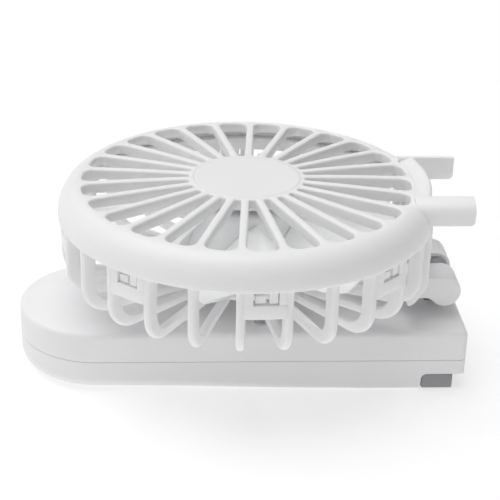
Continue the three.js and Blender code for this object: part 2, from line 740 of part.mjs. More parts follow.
// The handle's outline, shrunk by an inset: a half round grip end and a square hinge end.
function handleShape(inset) {
  const radius = HALF_WIDTH - inset;
  const centre = -HANDLE_END + HALF_WIDTH;
  const end = HANDLE_END - inset;
  const corner = END_CORNER;
  const shape = new THREE.Shape();
  shape.moveTo(centre, -radius);
  shape.lineTo(end - corner, -radius);
  shape.absarc(end - corner, -radius + corner, corner, -Math.PI / 2, 0, false);
  shape.absarc(end - corner, radius - corner, corner, 0, Math.PI / 2, false);
  shape.lineTo(centre, radius);
  shape.absarc(centre, 0, radius, Math.PI / 2, (3 * Math.PI) / 2, false);
  return shape;
}

// The handle's outer form, with a bevel round one face.
function shellBlock(z0, z1, bevelAtTop) {
  const bevel = EDGE_CHAMFER;
  const options = {
    depth: 0.01,
    bevelEnabled: true,
    bevelThickness: bevel,
    bevelSize: bevel,
    bevelOffset: -bevel,
    bevelSegments: 1,
  };
  const outline = new THREE.Shape(outlineOf(handleShape(0), EDGE_STEPS));
  const edge = new THREE.ExtrudeGeometry(outline, options);
  edge.translate(0, 0, bevelAtTop ? z1 - bevel - 0.01 : z0 + bevel);
  const low = bevelAtTop ? z0 : z0 + bevel;
  const high = bevelAtTop ? z1 - bevel : z1;
  return join(solid(edge), plate(handleShape(0), low, high, EDGE_STEPS));
}

function screwBoss(x, y, z0, z1) {
  return post(x, y, z0, z1, SCREW_RADIUS + 0.2 + BOSS_WALL, 12);
}

function screwHole(x, y, z0, z1) {
  return post(x, y, z0, z1, SCREW_RADIUS + 0.2, 8);
}

function portCut() {
  const half = PORT_WIDTH / 2 + RUNNING_GAP;
  const z0 = BOARD_TOP + SEAT_GAP - RUNNING_GAP;
  const z1 = BOARD_TOP + SEAT_GAP + PORT_HEIGHT + RUNNING_GAP;
  return box(BOARD_MID_X - half, BOARD_MID_X + half, HALF_WIDTH - 3, HALF_WIDTH + 1, z0, z1);
}

function upperShell() {
  const low = PARTING_HEIGHT + PARTING_GAP / 2;
  const outside = shellBlock(low, HANDLE_HEIGHT, true);
  const room = plate(handleShape(SHELL_WALL), low - 1, CEILING, EDGE_STEPS);
  let body = cut(outside, room);
  for (const side of [-1, 1]) {
    const y = side * SHELL_SCREW_Y;
    const bracketY = side * BRACKET_SCREW_Y;
    const bossLow = BRACKET_BOTTOM + BRACKET_THICKNESS + RUNNING_GAP;
    const sink = SHELL_SCREW_SEAT - SEAT_GAP;
    const head = post(SHELL_SCREW_X, y, sink, HANDLE_HEIGHT + 1, SCREW_HEAD_RADIUS + 0.2);
    body = join(body, screwBoss(SHELL_SCREW_X, y, low, CEILING + 0.5));
    body = join(body, screwBoss(BRACKET_SCREW_X, bracketY, bossLow, CEILING + 0.5));
    body = cut(body, head, screwHole(SHELL_SCREW_X, y, low - 1, HANDLE_HEIGHT));
    body = cut(body, screwHole(BRACKET_SCREW_X, bracketY, bossLow - 1, CEILING));
  }
  const slotX = LUG_RADIUS + RUNNING_GAP;
  const slotY = LUG_HALF_WIDTH + 0.4;
  const slot = box(AXIS_X - slotX, AXIS_X + slotX, -slotY, slotY, CEILING - 1, HANDLE_HEIGHT + 1);
  return mesh("handle_upper_shell", cut(body, slot, portCut()), SHELL_WHITE);
}

function lampY(index) {
  return (index - (LAMP_COUNT - 1) / 2) * LAMP_PITCH;
}

function boardScrews() {
  return [
    [BOARD_X + 3, BOARD_HALF_WIDTH - 3.5],
    [BOARD_END_X - 3, -BOARD_HALF_WIDTH + 3.5],
  ];
}

function lowerShell() {
  const top = PARTING_HEIGHT - PARTING_GAP / 2;
  const outside = shellBlock(0, top, false);
  const roof = NOTCH_HEIGHT + NOTCH_CEILING;
  const side = HALF_WIDTH + 1;
  const notch = box(NOTCH_X, HANDLE_END + 1, -side, side, -1, NOTCH_HEIGHT);
  const step = box(NOTCH_X - SHELL_WALL, HANDLE_END + 1, -side, side, -1, roof);
  const room = cut(plate(handleShape(SHELL_WALL), SHELL_WALL, top + 1, EDGE_STEPS), step);
  let body = cut(outside, room, notch);
  for (const y of [-SHELL_SCREW_Y, SHELL_SCREW_Y]) {
    body = join(body, screwBoss(SHELL_SCREW_X, y, SHELL_WALL - 0.5, top));
    body = cut(body, screwHole(SHELL_SCREW_X, y, SHELL_WALL, top + 1));
  }
  for (const [x, y] of boardScrews()) {
    body = join(body, screwBoss(x, y, SHELL_WALL - 0.5, BOARD_BOTTOM - SEAT_GAP));
    body = cut(body, screwHole(x, y, SHELL_WALL, BOARD_BOTTOM));
  }
  body = cut(body, post(BOARD_MID_X, 0, -1, SHELL_WALL + 0.5, BUTTON_RADIUS + RUNNING_GAP, 24));
  for (let i = 0; i < LAMP_COUNT; i++) {
    const x = BOARD_MID_X - LAMP_TO_BUTTON;
    body = cut(body, post(x, lampY(i), -1, SHELL_WALL + 0.5, LAMP_RADIUS + 0.15, 8));
  }
  return mesh("handle_lower_shell", cut(body, portCut()), SHELL_WHITE);
}

// The grey block in the notch. Two grooves under it take the prongs when the fan is open.
function prongSocket() {
  const side = HALF_WIDTH - SOCKET_SIDE_GAP;
  const start = NOTCH_X + RUNNING_GAP;
  const end = HANDLE_END - SOCKET_SETBACK;
  const top = NOTCH_HEIGHT - RUNNING_GAP;
  const prongTip = AXIS_X - PRONG_PAST_AXIS;
  let body = box(start, end, -side, side, 0, top);
  for (const s of [-1, 1]) {
    const near = s * (PRONG_INNER_Y - 0.4);
    const far = s * (PRONG_INNER_Y + PRONG_WIDTH + 0.4);
    const y0 = Math.min(near, far);
    body = cut(body, box(prongTip - 0.6, end + 1, y0, Math.max(near, far), -1, top - SOCKET_ROOF));
  }
  return mesh("prong_socket", body, DARK_GREY);
}

// ---- Handle: hinge bracket ----

function hingeBracket() {
  const high = BRACKET_BOTTOM + BRACKET_THICKNESS;
  const end = BRACKET_X + BRACKET_LENGTH;
  const wide = BRACKET_HALF_WIDTH;
  const base = box(BRACKET_X, end, -wide, wide, BRACKET_BOTTOM, high);
  const half = LUG_HALF_WIDTH;
  const stem = box(AXIS_X - LUG_RADIUS, AXIS_X + LUG_RADIUS, -half, half, high - 1, AXIS_Z);
  const eye = crossBar(AXIS_X, AXIS_Z, -half, half, LUG_RADIUS);
  const bore = crossBar(AXIS_X, AXIS_Z, -half - 1, half + 1, PIN_RADIUS + RUNNING_GAP);
  let body = cut(join(base, stem, eye), bore);
  for (const y of [-BRACKET_SCREW_Y, BRACKET_SCREW_Y]) {
    const sink = BRACKET_BOTTOM + SCREW_HEAD_HEIGHT + SEAT_GAP * 2;
    body = cut(body, post(BRACKET_SCREW_X, y, BRACKET_BOTTOM - 1, sink, SCREW_HEAD_RADIUS + 0.2));
    body = cut(body, screwHole(BRACKET_SCREW_X, y, BRACKET_BOTTOM, high + 1));
  }
  return mesh("hinge_bracket", body, DARK_GREY);
}

function hingeWasher(name, side) {
  const near = LUG_HALF_WIDTH + 0.15;
  const y0 = side > 0 ? near : -near - WASHER_THICKNESS;
  const disc = crossBar(AXIS_X, AXIS_Z, y0, y0 + WASHER_THICKNESS, WASHER_RADIUS);
  const hole = crossBar(AXIS_X, AXIS_Z, y0 - 1, y0 + WASHER_THICKNESS + 1, PIN_RADIUS + RUNNING_GAP);
  return mesh(name, cut(disc, hole), STEEL);
}

// ---- Handle: fasteners ----

// A screw with its head at one end. A positive direction has the head on top.
function screw(name, x, y, seat, tip, direction) {
  const headEnd = seat + direction * SCREW_HEAD_HEIGHT;
  const head = post(x, y, Math.min(seat, headEnd), Math.max(seat, headEnd), SCREW_HEAD_RADIUS, 12);
  const inside = seat + direction * 0.2;
  const shank = post(x, y, Math.min(tip, inside), Math.max(tip, inside), SCREW_RADIUS, 8);
  return mesh(name, join(head, shank), STEEL);
}

function screws() {
  const made = [];
  const sides = [-1, 1];
  sides.forEach((side, i) => {
    const y = side * SHELL_SCREW_Y;
    made.push(screw("shell_screw_" + (i + 1), SHELL_SCREW_X, y, SHELL_SCREW_SEAT, SHELL_WALL + 0.5, 1));
    const seat = BRACKET_BOTTOM + SCREW_HEAD_HEIGHT + SEAT_GAP;
    const tip = HANDLE_HEIGHT - SHELL_WALL - 0.5;
    made.push(screw("bracket_screw_" + (i + 1), BRACKET_SCREW_X, side * BRACKET_SCREW_Y, seat, tip, -1));
  });
  boardScrews().forEach(([x, y], i) => {
    made.push(screw("board_screw_" + (i + 1), x, y, BOARD_TOP + SEAT_GAP, SHELL_WALL + 0.4, 1));
  });
  return made;
}

// ---- Handle: battery and electronics ----

function batteryEnds() {
  const half = HALF_WIDTH - SHELL_WALL - BATTERY_SIDE_GAP;
  const inner = HALF_WIDTH - SHELL_WALL;
  const start = -HANDLE_END + HALF_WIDTH - Math.sqrt(inner * inner - half * half) + 1;
  const end = SHELL_SCREW_X - SCREW_RADIUS - BOSS_WALL - 1.4;
  return { half, start, end };
}

function battery() {
  const { half, start, end } = batteryEnds();
  const low = BATTERY_BOTTOM;
  const high = BATTERY_TOP;
  const corner = (high - low) / 2.5;
  const shape = new THREE.Shape();
  shape.absarc(half - corner, high - corner, corner, 0, Math.PI / 2, false);
  shape.absarc(-half + corner, high - corner, corner, Math.PI / 2, Math.PI, false);
  shape.absarc(-half + corner, low + corner, corner, Math.PI, 1.5 * Math.PI, false);
  shape.absarc(half - corner, low + corner, corner, 1.5 * Math.PI, 2 * Math.PI, false);
  const outline = outlineOf(shape, 3).map((p) => [p.x, p.y]);
  return mesh("battery", rail(outline, start, end), FOIL);
}

function batteryPad() {
  const { half, start, end } = batteryEnds();
  const high = CEILING - RUNNING_GAP;
  const inset = 6;
  const body = box(start + inset, end - inset, -half + inset, half - inset, high - PAD_THICKNESS, high);
  return mesh("battery_pad", body, FOAM);
}

function mainBoard() {
  const y = BOARD_HALF_WIDTH;
  let body = box(BOARD_X, BOARD_END_X, -y, y, BOARD_BOTTOM, BOARD_TOP);
  for (const [x, screwY] of boardScrews()) {
    body = cut(body, screwHole(x, screwY, BOARD_BOTTOM - 1, BOARD_TOP + 1));
  }
  return mesh("main_board", body, FIBREGLASS);
}

// A part soldered on top of the board.
function onBoard(name, x, y, length, width, height, material) {
  const z = BOARD_TOP + SEAT_GAP;
  const body = box(x - length / 2, x + length / 2, y - width / 2, y + width / 2, z, z + height);
  return mesh(name, body, material);
}

function usbPort() {
  const z = BOARD_TOP + SEAT_GAP;
  const mouth = HALF_WIDTH - 0.3;
  const back = mouth - PORT_LENGTH;
  const half = PORT_WIDTH / 2;
  const shape = new THREE.Shape();
  const radius = PORT_HEIGHT / 2;
  const middle = z + radius;
  shape.absarc(half - radius, middle, radius, -Math.PI / 2, Math.PI / 2, false);
  shape.absarc(-half + radius, middle, radius, Math.PI / 2, 1.5 * Math.PI, false);
  const outline = outlineOf(shape, 6);
  const grow = 1 - (2 * PORT_WALL) / PORT_HEIGHT;
  const outer = outline.map((p) => [p.x + BOARD_MID_X, p.y]);
  const inner = outline.map((p) => [
    BOARD_MID_X + p.x - Math.sign(p.x) * (1 - grow) * radius,
    middle + (p.y - middle) * grow,
  ]);
  const shell = cut(upright(outer, back, mouth), upright(inner, back + 1, mouth + 1));
  const tongueHalf = half - 1.4;
  const x0 = BOARD_MID_X - tongueHalf;
  const x1 = BOARD_MID_X + tongueHalf;
  const tongue = box(x0, x1, back + 0.5, mouth - 1, middle - PORT_TONGUE / 2, middle + PORT_TONGUE / 2);
  return mesh("usb_port", join(shell, tongue), STEEL);
}

function powerSwitch() {
  const half = SWITCH_SIZE / 2;
  const top = SWITCH_BOTTOM + SWITCH_HEIGHT;
  const housing = box(BOARD_MID_X - half, BOARD_MID_X + half, -half, half, SWITCH_BOTTOM, top);
  const nub = post(BOARD_MID_X, 0, SWITCH_NUB_BOTTOM, SWITCH_BOTTOM + 0.2, SWITCH_NUB_RADIUS, 16);
  return mesh("power_switch", join(housing, nub), STEEL);
}

function powerButton() {
  const seat = BUTTON_SEAT;
  const flange = BUTTON_RADIUS + BUTTON_FLANGE;
  const profile = [
    [0, BUTTON_RECESS],
    [BUTTON_RADIUS - 0.4, BUTTON_RECESS],
    [BUTTON_RADIUS, BUTTON_RECESS + 0.4],
    [BUTTON_RADIUS, seat],
    [flange, seat],
    [flange, seat + BUTTON_FLANGE_THICKNESS],
    [SWITCH_NUB_RADIUS, seat + BUTTON_FLANGE_THICKNESS],
    [SWITCH_NUB_RADIUS, BUTTON_TOP],
    [0, BUTTON_TOP],
  ];
  const made = mesh("power_button", turned(profile, 24), WHITE);
  made.position.set(BOARD_MID_X, 0, 0);
  return made;
}

// Four light pins on one bar, behind holes in the shell.
function lightPipe() {
  const x = BOARD_MID_X - LAMP_TO_BUTTON;
  const seat = SHELL_WALL + SEAT_GAP;
  const reach = lampY(LAMP_COUNT - 1) + 1.5;
  let body = box(x - 1.4, x + 1.4, -reach, reach, seat, seat + 1.2);
  for (let i = 0; i < LAMP_COUNT; i++) {
    body = join(body, post(x, lampY(i), 0.2, seat + 0.5, LAMP_RADIUS, 8));
  }
  return mesh("indicator_light_pipe", body, CLEAR);
}

function lamp(index) {
  const x = BOARD_MID_X - LAMP_TO_BUTTON;
  const top = BOARD_BOTTOM - SEAT_GAP;
  const y = lampY(index);
  return mesh("indicator_led_" + (index + 1), box(x - 0.8, x + 0.8, y - 0.5, y + 0.5, top - 0.7, top), CLEAR);
}

function batteryWire(name, y, material) {
  const { end } = batteryEnds();
  const start = end + RUNNING_GAP;
  const finish = BOARD_X + 0.7;
  const z = BOARD_TOP + SEAT_GAP + CONNECTOR_HEIGHT / 2;
  const path = new THREE.CatmullRomCurve3([
    new THREE.Vector3(start, y, BATTERY_TOP - 1.8),
    new THREE.Vector3(start + 2.5, y, BATTERY_TOP - 1.5),
    new THREE.Vector3(finish - 2.5, y, z + 0.3),
    new THREE.Vector3(finish, y, z),
  ]);
  const section = new THREE.Shape();
  section.absarc(0, 0, WIRE_RADIUS, 0, 2 * Math.PI, false);
  const outline = new THREE.Shape(outlineOf(section, 4));
  const options = { steps: 8, extrudePath: path, bevelEnabled: false };
  return mesh(name, solid(new THREE.ExtrudeGeometry(outline, options)), material);
}

// ---- Assembly ----

function headGroup() {
  const head = new THREE.Group();
  head.position.set(HEAD_X, 0, HEAD_TOP);
  head.add(frontRing(), frontGrille(), grilleCap(), rearCage(), rearGuard(), hingePin());
  head.add(bearingTube(), statorCore(), motorBoard());
  head.add(bearing("bearing_rear", TUBE_BOTTOM + 1.2));
  head.add(bearing("bearing_front", TUBE_TOP - BEARING_HEIGHT - 0.2));
  for (let i = 0; i < TOOTH_COUNT; i++) head.add(coil(i));
  const spinner = new THREE.Group();
  spinner.add(impeller(), rotorCan(), magnetRing(), motorShaft(), shaftClip());
  head.add(spinner);
  return head;
}

function handleGroup() {
  const handle = new THREE.Group();
  handle.add(upperShell(), lowerShell(), prongSocket(), hingeBracket());
  handle.add(hingeWasher("hinge_washer_front", -1), hingeWasher("hinge_washer_rear", 1));
  handle.add(...screws());
  handle.add(battery(), batteryPad(), mainBoard(), usbPort(), powerSwitch(), lightPipe());
  for (let i = 0; i < LAMP_COUNT; i++) handle.add(lamp(i));
  handle.add(onBoard("battery_connector", BOARD_X + 3.2, 0, 4.5, 6, CONNECTOR_HEIGHT, SHELL_WHITE));
  handle.add(onBoard("motor_connector", BOARD_END_X - 3.2, 3, 4.5, 6, CONNECTOR_HEIGHT, SHELL_WHITE));
  handle.add(onBoard("charge_chip", BOARD_MID_X - 6, -8, 5, 4, 1.5, BLACK));
  handle.add(onBoard("control_chip", BOARD_MID_X + 1, -8, 5, 5, 1, BLACK));
  handle.add(onBoard("inductor", BOARD_MID_X - 1, 2, 5.5, 5.5, 3, IRON));
  handle.add(batteryWire("battery_wire_red", 1.5, RED));
  handle.add(batteryWire("battery_wire_black", -1.5, BLACK));
  return handle;
}

const fan = new THREE.Group();
fan.add(handleGroup(), headGroup(), powerButton());
export default fan;
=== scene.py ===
"""Looks for the folding handheld fan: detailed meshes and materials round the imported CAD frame."""

import json
import math

import bmesh
import bpy
from mathutils import Matrix, Vector
from mathutils.geometry import delaunay_2d_cdt


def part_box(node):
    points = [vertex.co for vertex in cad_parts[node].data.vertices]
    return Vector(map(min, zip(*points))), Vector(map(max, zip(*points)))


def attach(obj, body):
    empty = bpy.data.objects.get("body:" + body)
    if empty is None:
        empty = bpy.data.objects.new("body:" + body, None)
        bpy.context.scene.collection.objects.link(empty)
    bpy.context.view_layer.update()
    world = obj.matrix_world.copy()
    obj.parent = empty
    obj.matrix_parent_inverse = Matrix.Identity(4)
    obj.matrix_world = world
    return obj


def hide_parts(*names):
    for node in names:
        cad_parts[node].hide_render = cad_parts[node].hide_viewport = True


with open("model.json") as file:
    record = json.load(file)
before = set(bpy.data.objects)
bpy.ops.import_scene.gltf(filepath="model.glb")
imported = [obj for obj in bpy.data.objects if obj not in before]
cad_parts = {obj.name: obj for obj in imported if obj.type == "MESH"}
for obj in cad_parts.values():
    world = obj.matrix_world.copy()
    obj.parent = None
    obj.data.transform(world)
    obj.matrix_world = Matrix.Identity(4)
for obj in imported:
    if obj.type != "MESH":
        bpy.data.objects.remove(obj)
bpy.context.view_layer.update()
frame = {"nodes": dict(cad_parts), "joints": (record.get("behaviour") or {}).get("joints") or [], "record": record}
MM = 0.001

# ---- Places and sizes in millimetres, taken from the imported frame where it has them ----


def box_mm(node):
    low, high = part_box(node)
    return low / MM, high / MM


RING_LOW, RING_HIGH = box_mm("front_ring")
CAP_LOW, CAP_HIGH = box_mm("grille_cap")
GUARD_LOW, GUARD_HIGH = box_mm("rear_guard")
UPPER_LOW, UPPER_HIGH = box_mm("handle_upper_shell")
LOWER_HIGH = box_mm("handle_lower_shell")[1]
SOCKET_LOW, SOCKET_HIGH = box_mm("prong_socket")
BRACKET_LOW, BRACKET_HIGH = box_mm("hinge_bracket")
PORT_LOW, PORT_HIGH = box_mm("usb_port")
BUTTON_LOW, BUTTON_HIGH = box_mm("power_button")
LAMP_LOW, LAMP_HIGH = box_mm("indicator_light_pipe")
IMPELLER_LOW, IMPELLER_HIGH = box_mm("impeller")
HINGE = Vector(frame["joints"][0]["pos_m"]) / MM

RING_R = (RING_HIGH.y - RING_LOW.y) / 2
HEAD_X = RING_LOW.x + RING_R
HEAD_Z = RING_HIGH.z
RING_DEPTH = HEAD_Z - RING_LOW.z
HEAD_DEPTH = HEAD_Z - GUARD_LOW.z
HALF_LENGTH = UPPER_HIGH.x
HALF_WIDTH = UPPER_HIGH.y
HANDLE_TOP = UPPER_HIGH.z

ROUND_STEPS = 96
SPOKES = 26
PITCH = 2 * math.pi / SPOKES
FIRST_SPOKE = math.radians(-94.3)
SPOKE_HALF = 1.0
SPOKE_THICK = 3.2
SPOKE_DROP = 0.5
SLOT_R = RING_R - 6
HUB_R = 14.6
RECESS_R = 13.52
DOME_DROP = 1.0
SHOULDER_R = SLOT_R + 1.6
RING_WALL = 1.75
SLOT_CORNER = 2.5
SLOT_TIP_CORNER = 0.55
SLOT_TIP_HALF = 0.12
SLOT_FILLET = 0.55
CAP_RECESS = 1.7
RING_POINTS_PER_SPOKE = 8
HUB_POINTS_PER_SPOKE = 4
RIM_POINTS_PER_SPOKE = 6
RIB_OUT = RING_R - 0.6
RIB_DEPTH = 3.5
RIB_HALF = 1.0
RIB_CORNER = 7.4
RIB_SOFT_OUT = 0.8
RIB_SOFT_IN = 0.45
BAR = 2.6
HUB_PLATE_R = 16.5
COLLAR_R = 6.5
COLLAR_BORE = 4.3
TABS = 8
TAB_DEPTH = 6.8
TAB_THICK = 1.6
WINDOW_DEPTH = 3.4
# Where the window starts, its left latch ends, its right latch starts and it stops, across a gap
WINDOW_SHARES = (0.25, 0.5, 0.58, 0.78)
WALL = 1.8
NECK_X = 45.1
NECK_HALF = 16.5
NECK_FOOT = -HEAD_DEPTH - 1.7
PRONG_IN = 12.8
PRONG_OUT = 17.3
PRONG_DEPTH = 6.1
PRONG_NOSE = 1.3
PRONG_END = RING_HIGH.x - HEAD_X
KNUCKLE_R = 4.0
KNUCKLE_BORE = 1.7
KNUCKLE_IN = 3.0
KNUCKLE_OUT = 12.0
BLADES = 7
BLADE_ROOT = 14.1
BLADE_TIP = 39.4
BLADE_SPAN = 40
BLADE_SWEEP = 13
BLADE_HEIGHT = 11.4
BLADE_TAPER = 2.6
BLADE_TIP_ROUND = 0.16
BLADE_CAMBER = 1.3
BLADE_EDGE = 0.1
BLADE_THICK = 0.5
ROTOR_R = 14.8
SHAFT_HOLE_R = 1.1
PARTING = (LOWER_HIGH.z + UPPER_LOW.z) / 2
PARTING_LOW = PARTING - 0.05
PARTING_HIGH = PARTING + 0.05
END_CORNER = 1.6
TOP_EDGE = 1.35
LOW_EDGE = 1.0
GRIP_EDGE = 4.4
SEAM_SOFT = 0.08
LUG_R = 3.1
LUG_HALF = 2.1
LUG_BORE = 1.75
LUG_ROOM_X = 3.4
LUG_ROOM_Y = 2.5
SCREW_SINK_R = 2.15
SCREW_HEAD_R = 1.9
SCREW_SHANK_R = 0.95
SCREW_CROSS_LONG = 1.1
SCREW_CROSS_HALF = 0.2
SCREW_CROSS_DEPTH = 0.75
BUTTON_R = 4.95
BUTTON_FLANGE_R = 6.2
BUTTON_STEM_R = 1.9
BUTTON_HOLE_R = 5.25
LAMP_HOLE_R = 1.02
PORT_GAP = 0.3
NOTCH_X = HALF_LENGTH - 11.4
NOTCH_Z = 4.5
LAMP_PITCH = 3.0

# ---- Camera, floor and light, in metres ----

CAMERA_LENS = 97.12
CAMERA_SENSOR = 36
CAMERA_PLACE = Vector((-17.09, -314.08, 179.49)) * MM
CAMERA_TURN = math.radians(-3.579)
CAMERA_TILT = math.radians(64.558)
CAMERA_ROLL = math.radians(1.435)
FLOOR_HALF = 6.0
FLOOR_SINK = 0.00005
FLOOR_COLOUR = (0.5, 0.5, 0.502, 1)
FLOOR_ROUGHNESS = 0.85
FLOOR_GLOW = 0.56
WHITE = (1, 1, 1, 1)
SKY_LEFT = 0.24
SKY_RIGHT = -0.06
SKY_LIFT = 0.40
KEY_POWER = 1.75
KEY_SPREAD = math.radians(50)
KEY_DIRECTION = Vector((0.25, -0.08, -0.965))
FILL_PLACE = Vector((-0.36, -0.36, 0.16))
FILL_TARGET = Vector((-0.03, 0, 0.02))
FILL_SIZE = 0.25
FILL_POWER = 0.03
FILL_COLOUR = (0.98, 0.99, 1.0)
DISPLAY_GAMMA = 1.12


def turn_z(angle):
    return Matrix.Rotation(angle, 4, "Z")


def make_camera():
    data = bpy.data.cameras.new("camera")
    data.lens = CAMERA_LENS
    data.sensor_width = CAMERA_SENSOR
    camera = bpy.data.objects.new("camera", data)
    bpy.context.scene.collection.objects.link(camera)
    tilt = Matrix.Rotation(CAMERA_TILT, 4, "X")
    place = Matrix.Translation(CAMERA_PLACE)
    camera.matrix_world = place @ turn_z(CAMERA_TURN) @ tilt @ turn_z(CAMERA_ROLL)
    bpy.context.scene.camera = camera


def make_floor():
    """A pale floor that is clear from below, so that the object's underside shows there."""
    corners = [(-FLOOR_HALF, -FLOOR_HALF), (FLOOR_HALF, -FLOOR_HALF)]
    corners += [(FLOOR_HALF, FLOOR_HALF), (-FLOOR_HALF, FLOOR_HALF)]
    mesh = bpy.data.meshes.new("floor")
    mesh.from_pydata([(x, y, -FLOOR_SINK) for x, y in corners], [], [(0, 1, 2, 3)])
    floor = bpy.data.objects.new("floor", mesh)
    bpy.context.scene.collection.objects.link(floor)
    material = bpy.data.materials.new("floor")
    material.use_nodes = True
    tree = material.node_tree
    shader = tree.nodes["Principled BSDF"]
    shader.inputs["Base Color"].default_value = FLOOR_COLOUR
    shader.inputs["Roughness"].default_value = FLOOR_ROUGHNESS
    shader.inputs["Emission Color"].default_value = WHITE
    shader.inputs["Emission Strength"].default_value = FLOOR_GLOW
    geometry = tree.nodes.new("ShaderNodeNewGeometry")
    clear = tree.nodes.new("ShaderNodeBsdfTransparent")
    either = tree.nodes.new("ShaderNodeMixShader")
    tree.links.new(geometry.outputs["Backfacing"], either.inputs["Fac"])
    tree.links.new(shader.outputs["BSDF"], either.inputs[1])
    tree.links.new(clear.outputs["BSDF"], either.inputs[2])
    tree.links.new(either.outputs["Shader"], tree.nodes["Material Output"].inputs["Surface"])
    mesh.materials.append(material)


def make_sky():
    """White light from above that is stronger on the grip end's side."""
    world = bpy.data.worlds.new("studio")
    world.use_nodes = True
    tree = world.node_tree
    back = tree.nodes["Background"]
    back.inputs["Color"].default_value = WHITE
    place = tree.nodes.new("ShaderNodeTexCoord")
    split = tree.nodes.new("ShaderNodeSeparateXYZ")
    side = tree.nodes.new("ShaderNodeMapRange")
    side.inputs["From Min"].default_value = -1
    side.inputs["From Max"].default_value = 1
    side.inputs["To Min"].default_value = SKY_LEFT
    side.inputs["To Max"].default_value = SKY_RIGHT
    lift = tree.nodes.new("ShaderNodeMath")
    lift.operation = "MULTIPLY_ADD"
    lift.use_clamp = True
    lift.inputs[1].default_value = SKY_LIFT
    tree.links.new(place.outputs["Generated"], split.inputs["Vector"])
    tree.links.new(split.outputs["X"], side.inputs["Value"])
    tree.links.new(split.outputs["Z"], lift.inputs[0])
    tree.links.new(side.outputs["Result"], lift.inputs[2])
    tree.links.new(lift.outputs["Value"], back.inputs["Strength"])
    bpy.context.scene.world = world


def add_light(name, kind, power, aim):
    data = bpy.data.lights.new(name, kind)
    data.energy = power
    light = bpy.data.objects.new(name, data)
    bpy.context.scene.collection.objects.link(light)
    light.rotation_euler = aim.to_track_quat("-Z", "Y").to_euler()
    return light


def make_lights():
    key = add_light("soft_key", "SUN", KEY_POWER, KEY_DIRECTION)
    key.data.angle = KEY_SPREAD
    fill = add_light("fill", "AREA", FILL_POWER, FILL_TARGET - FILL_PLACE)
    fill.data.shape = "DISK"
    fill.data.size = FILL_SIZE
    fill.data.color = FILL_COLOUR
    fill.location = FILL_PLACE
    bpy.context.scene.view_settings.view_transform = "Standard"
    bpy.context.scene.view_settings.gamma = DISPLAY_GAMMA


make_camera()
make_floor()
make_sky()
make_lights()

# ---- Materials ----


def node(tree, kind, **values):
    made = tree.nodes.new(kind)
    for key, value in values.items():
        setattr(made, key, value)
    return made


def wire(tree, source, target):
    tree.links.new(source, target)


def noise(tree, scale, detail=3.0, roughness=0.5):
    """A noise that is fixed to the object's own millimetres."""
    place = node(tree, "ShaderNodeTexCoord")
    made = node(tree, "ShaderNodeTexNoise")
    made.inputs["Scale"].default_value = scale
    made.inputs["Detail"].default_value = detail
    made.inputs["Roughness"].default_value = roughness
    wire(tree, place.outputs["Object"], made.inputs["Vector"])
    return made.outputs["Fac"]


def spread(tree, source, low, high, from_low=0.3, from_high=0.7):
    """Stretches a source's usual range to the one wanted."""
    made = node(tree, "ShaderNodeMapRange")
    made.inputs["From Min"].default_value = from_low
    made.inputs["From Max"].default_value = from_high
    made.inputs["To Min"].default_value = low
    made.inputs["To Max"].default_value = high
    wire(tree, source, made.inputs["Value"])
    return made.outputs["Result"]


def tint(tree, source, dark, light):
    made = node(tree, "ShaderNodeMix", data_type="RGBA")
    made.inputs["A"].default_value = (*dark, 1)
    made.inputs["B"].default_value = (*light, 1)
    wire(tree, source, made.inputs["Factor"])
    return made.outputs["Result"]


def linear(colour):
    return [c / 12.92 if c < 0.04 else ((c + 0.055) / 1.055) ** 2.4 for c in colour]


def moulded(name, colour, rough=0.42, vary=0.03, grain=2400, depth=0.00002, metal=0.0, edge_highlight_and_wear=0.0):
    """Moulded plastic or metal: faint flow marks, a fine grain and edges painted a little brighter, a painted
    highlight that also stands for rubbed wear.
    """
    material = bpy.data.materials.new(name)
    material.use_nodes = True
    tree = material.node_tree
    shader = tree.nodes["Principled BSDF"]
    base = linear(colour)
    dark = [c * (1 - vary) for c in base]
    light = [min(1, c * (1 + vary)) for c in base]
    flow = noise(tree, 55, 4, 0.55)
    colour_out = tint(tree, spread(tree, flow, 0, 1), dark, light)
    # Painted highlight: convex edges, found by pointiness, are made lighter; this also stands for rubbed wear.
    if edge_highlight_and_wear > 0:
        geometry = node(tree, "ShaderNodeNewGeometry")
        edge = spread(tree, geometry.outputs["Pointiness"], 0, edge_highlight_and_wear, 0.5, 0.62)
        edge_highlight_mix = node(tree, "ShaderNodeMix", data_type="RGBA")
        edge_highlight_mix.inputs["B"].default_value = (*[min(1, c * 1.12 + 0.02) for c in base], 1)
        wire(tree, edge, edge_highlight_mix.inputs["Factor"])
        wire(tree, colour_out, edge_highlight_mix.inputs["A"])
        colour_out = edge_highlight_mix.outputs["Result"]
    wire(tree, colour_out, shader.inputs["Base Color"])
    scuff = noise(tree, 320, 5, 0.6)
    wire(tree, spread(tree, scuff, rough - 0.05, rough + 0.07), shader.inputs["Roughness"])
    shader.inputs["Metallic"].default_value = metal
    bump = node(tree, "ShaderNodeBump")
    bump.inputs["Strength"].default_value = 0.35
    bump.inputs["Distance"].default_value = depth
    wire(tree, noise(tree, grain, 2), bump.inputs["Height"])
    wire(tree, bump.outputs["Normal"], shader.inputs["Normal"])
    return material


def banded(material, scale, depth):
    """Adds fine parallel lines, such as windings, laminations or turning marks."""
    tree = material.node_tree
    shader = tree.nodes["Principled BSDF"]
    place = node(tree, "ShaderNodeTexCoord")
    lines = node(tree, "ShaderNodeTexWave", bands_direction="Z")
    lines.inputs["Scale"].default_value = scale
    lines.inputs["Distortion"].default_value = 0.4
    wire(tree, place.outputs["Object"], lines.inputs["Vector"])
    old = shader.inputs["Normal"].links[0].from_node
    bump = node(tree, "ShaderNodeBump")
    bump.inputs["Strength"].default_value = 0.8
    bump.inputs["Distance"].default_value = depth
    wire(tree, lines.outputs["Fac"], bump.inputs["Height"])
    wire(tree, old.outputs["Normal"], bump.inputs["Normal"])
    wire(tree, bump.outputs["Normal"], shader.inputs["Normal"])
    return material


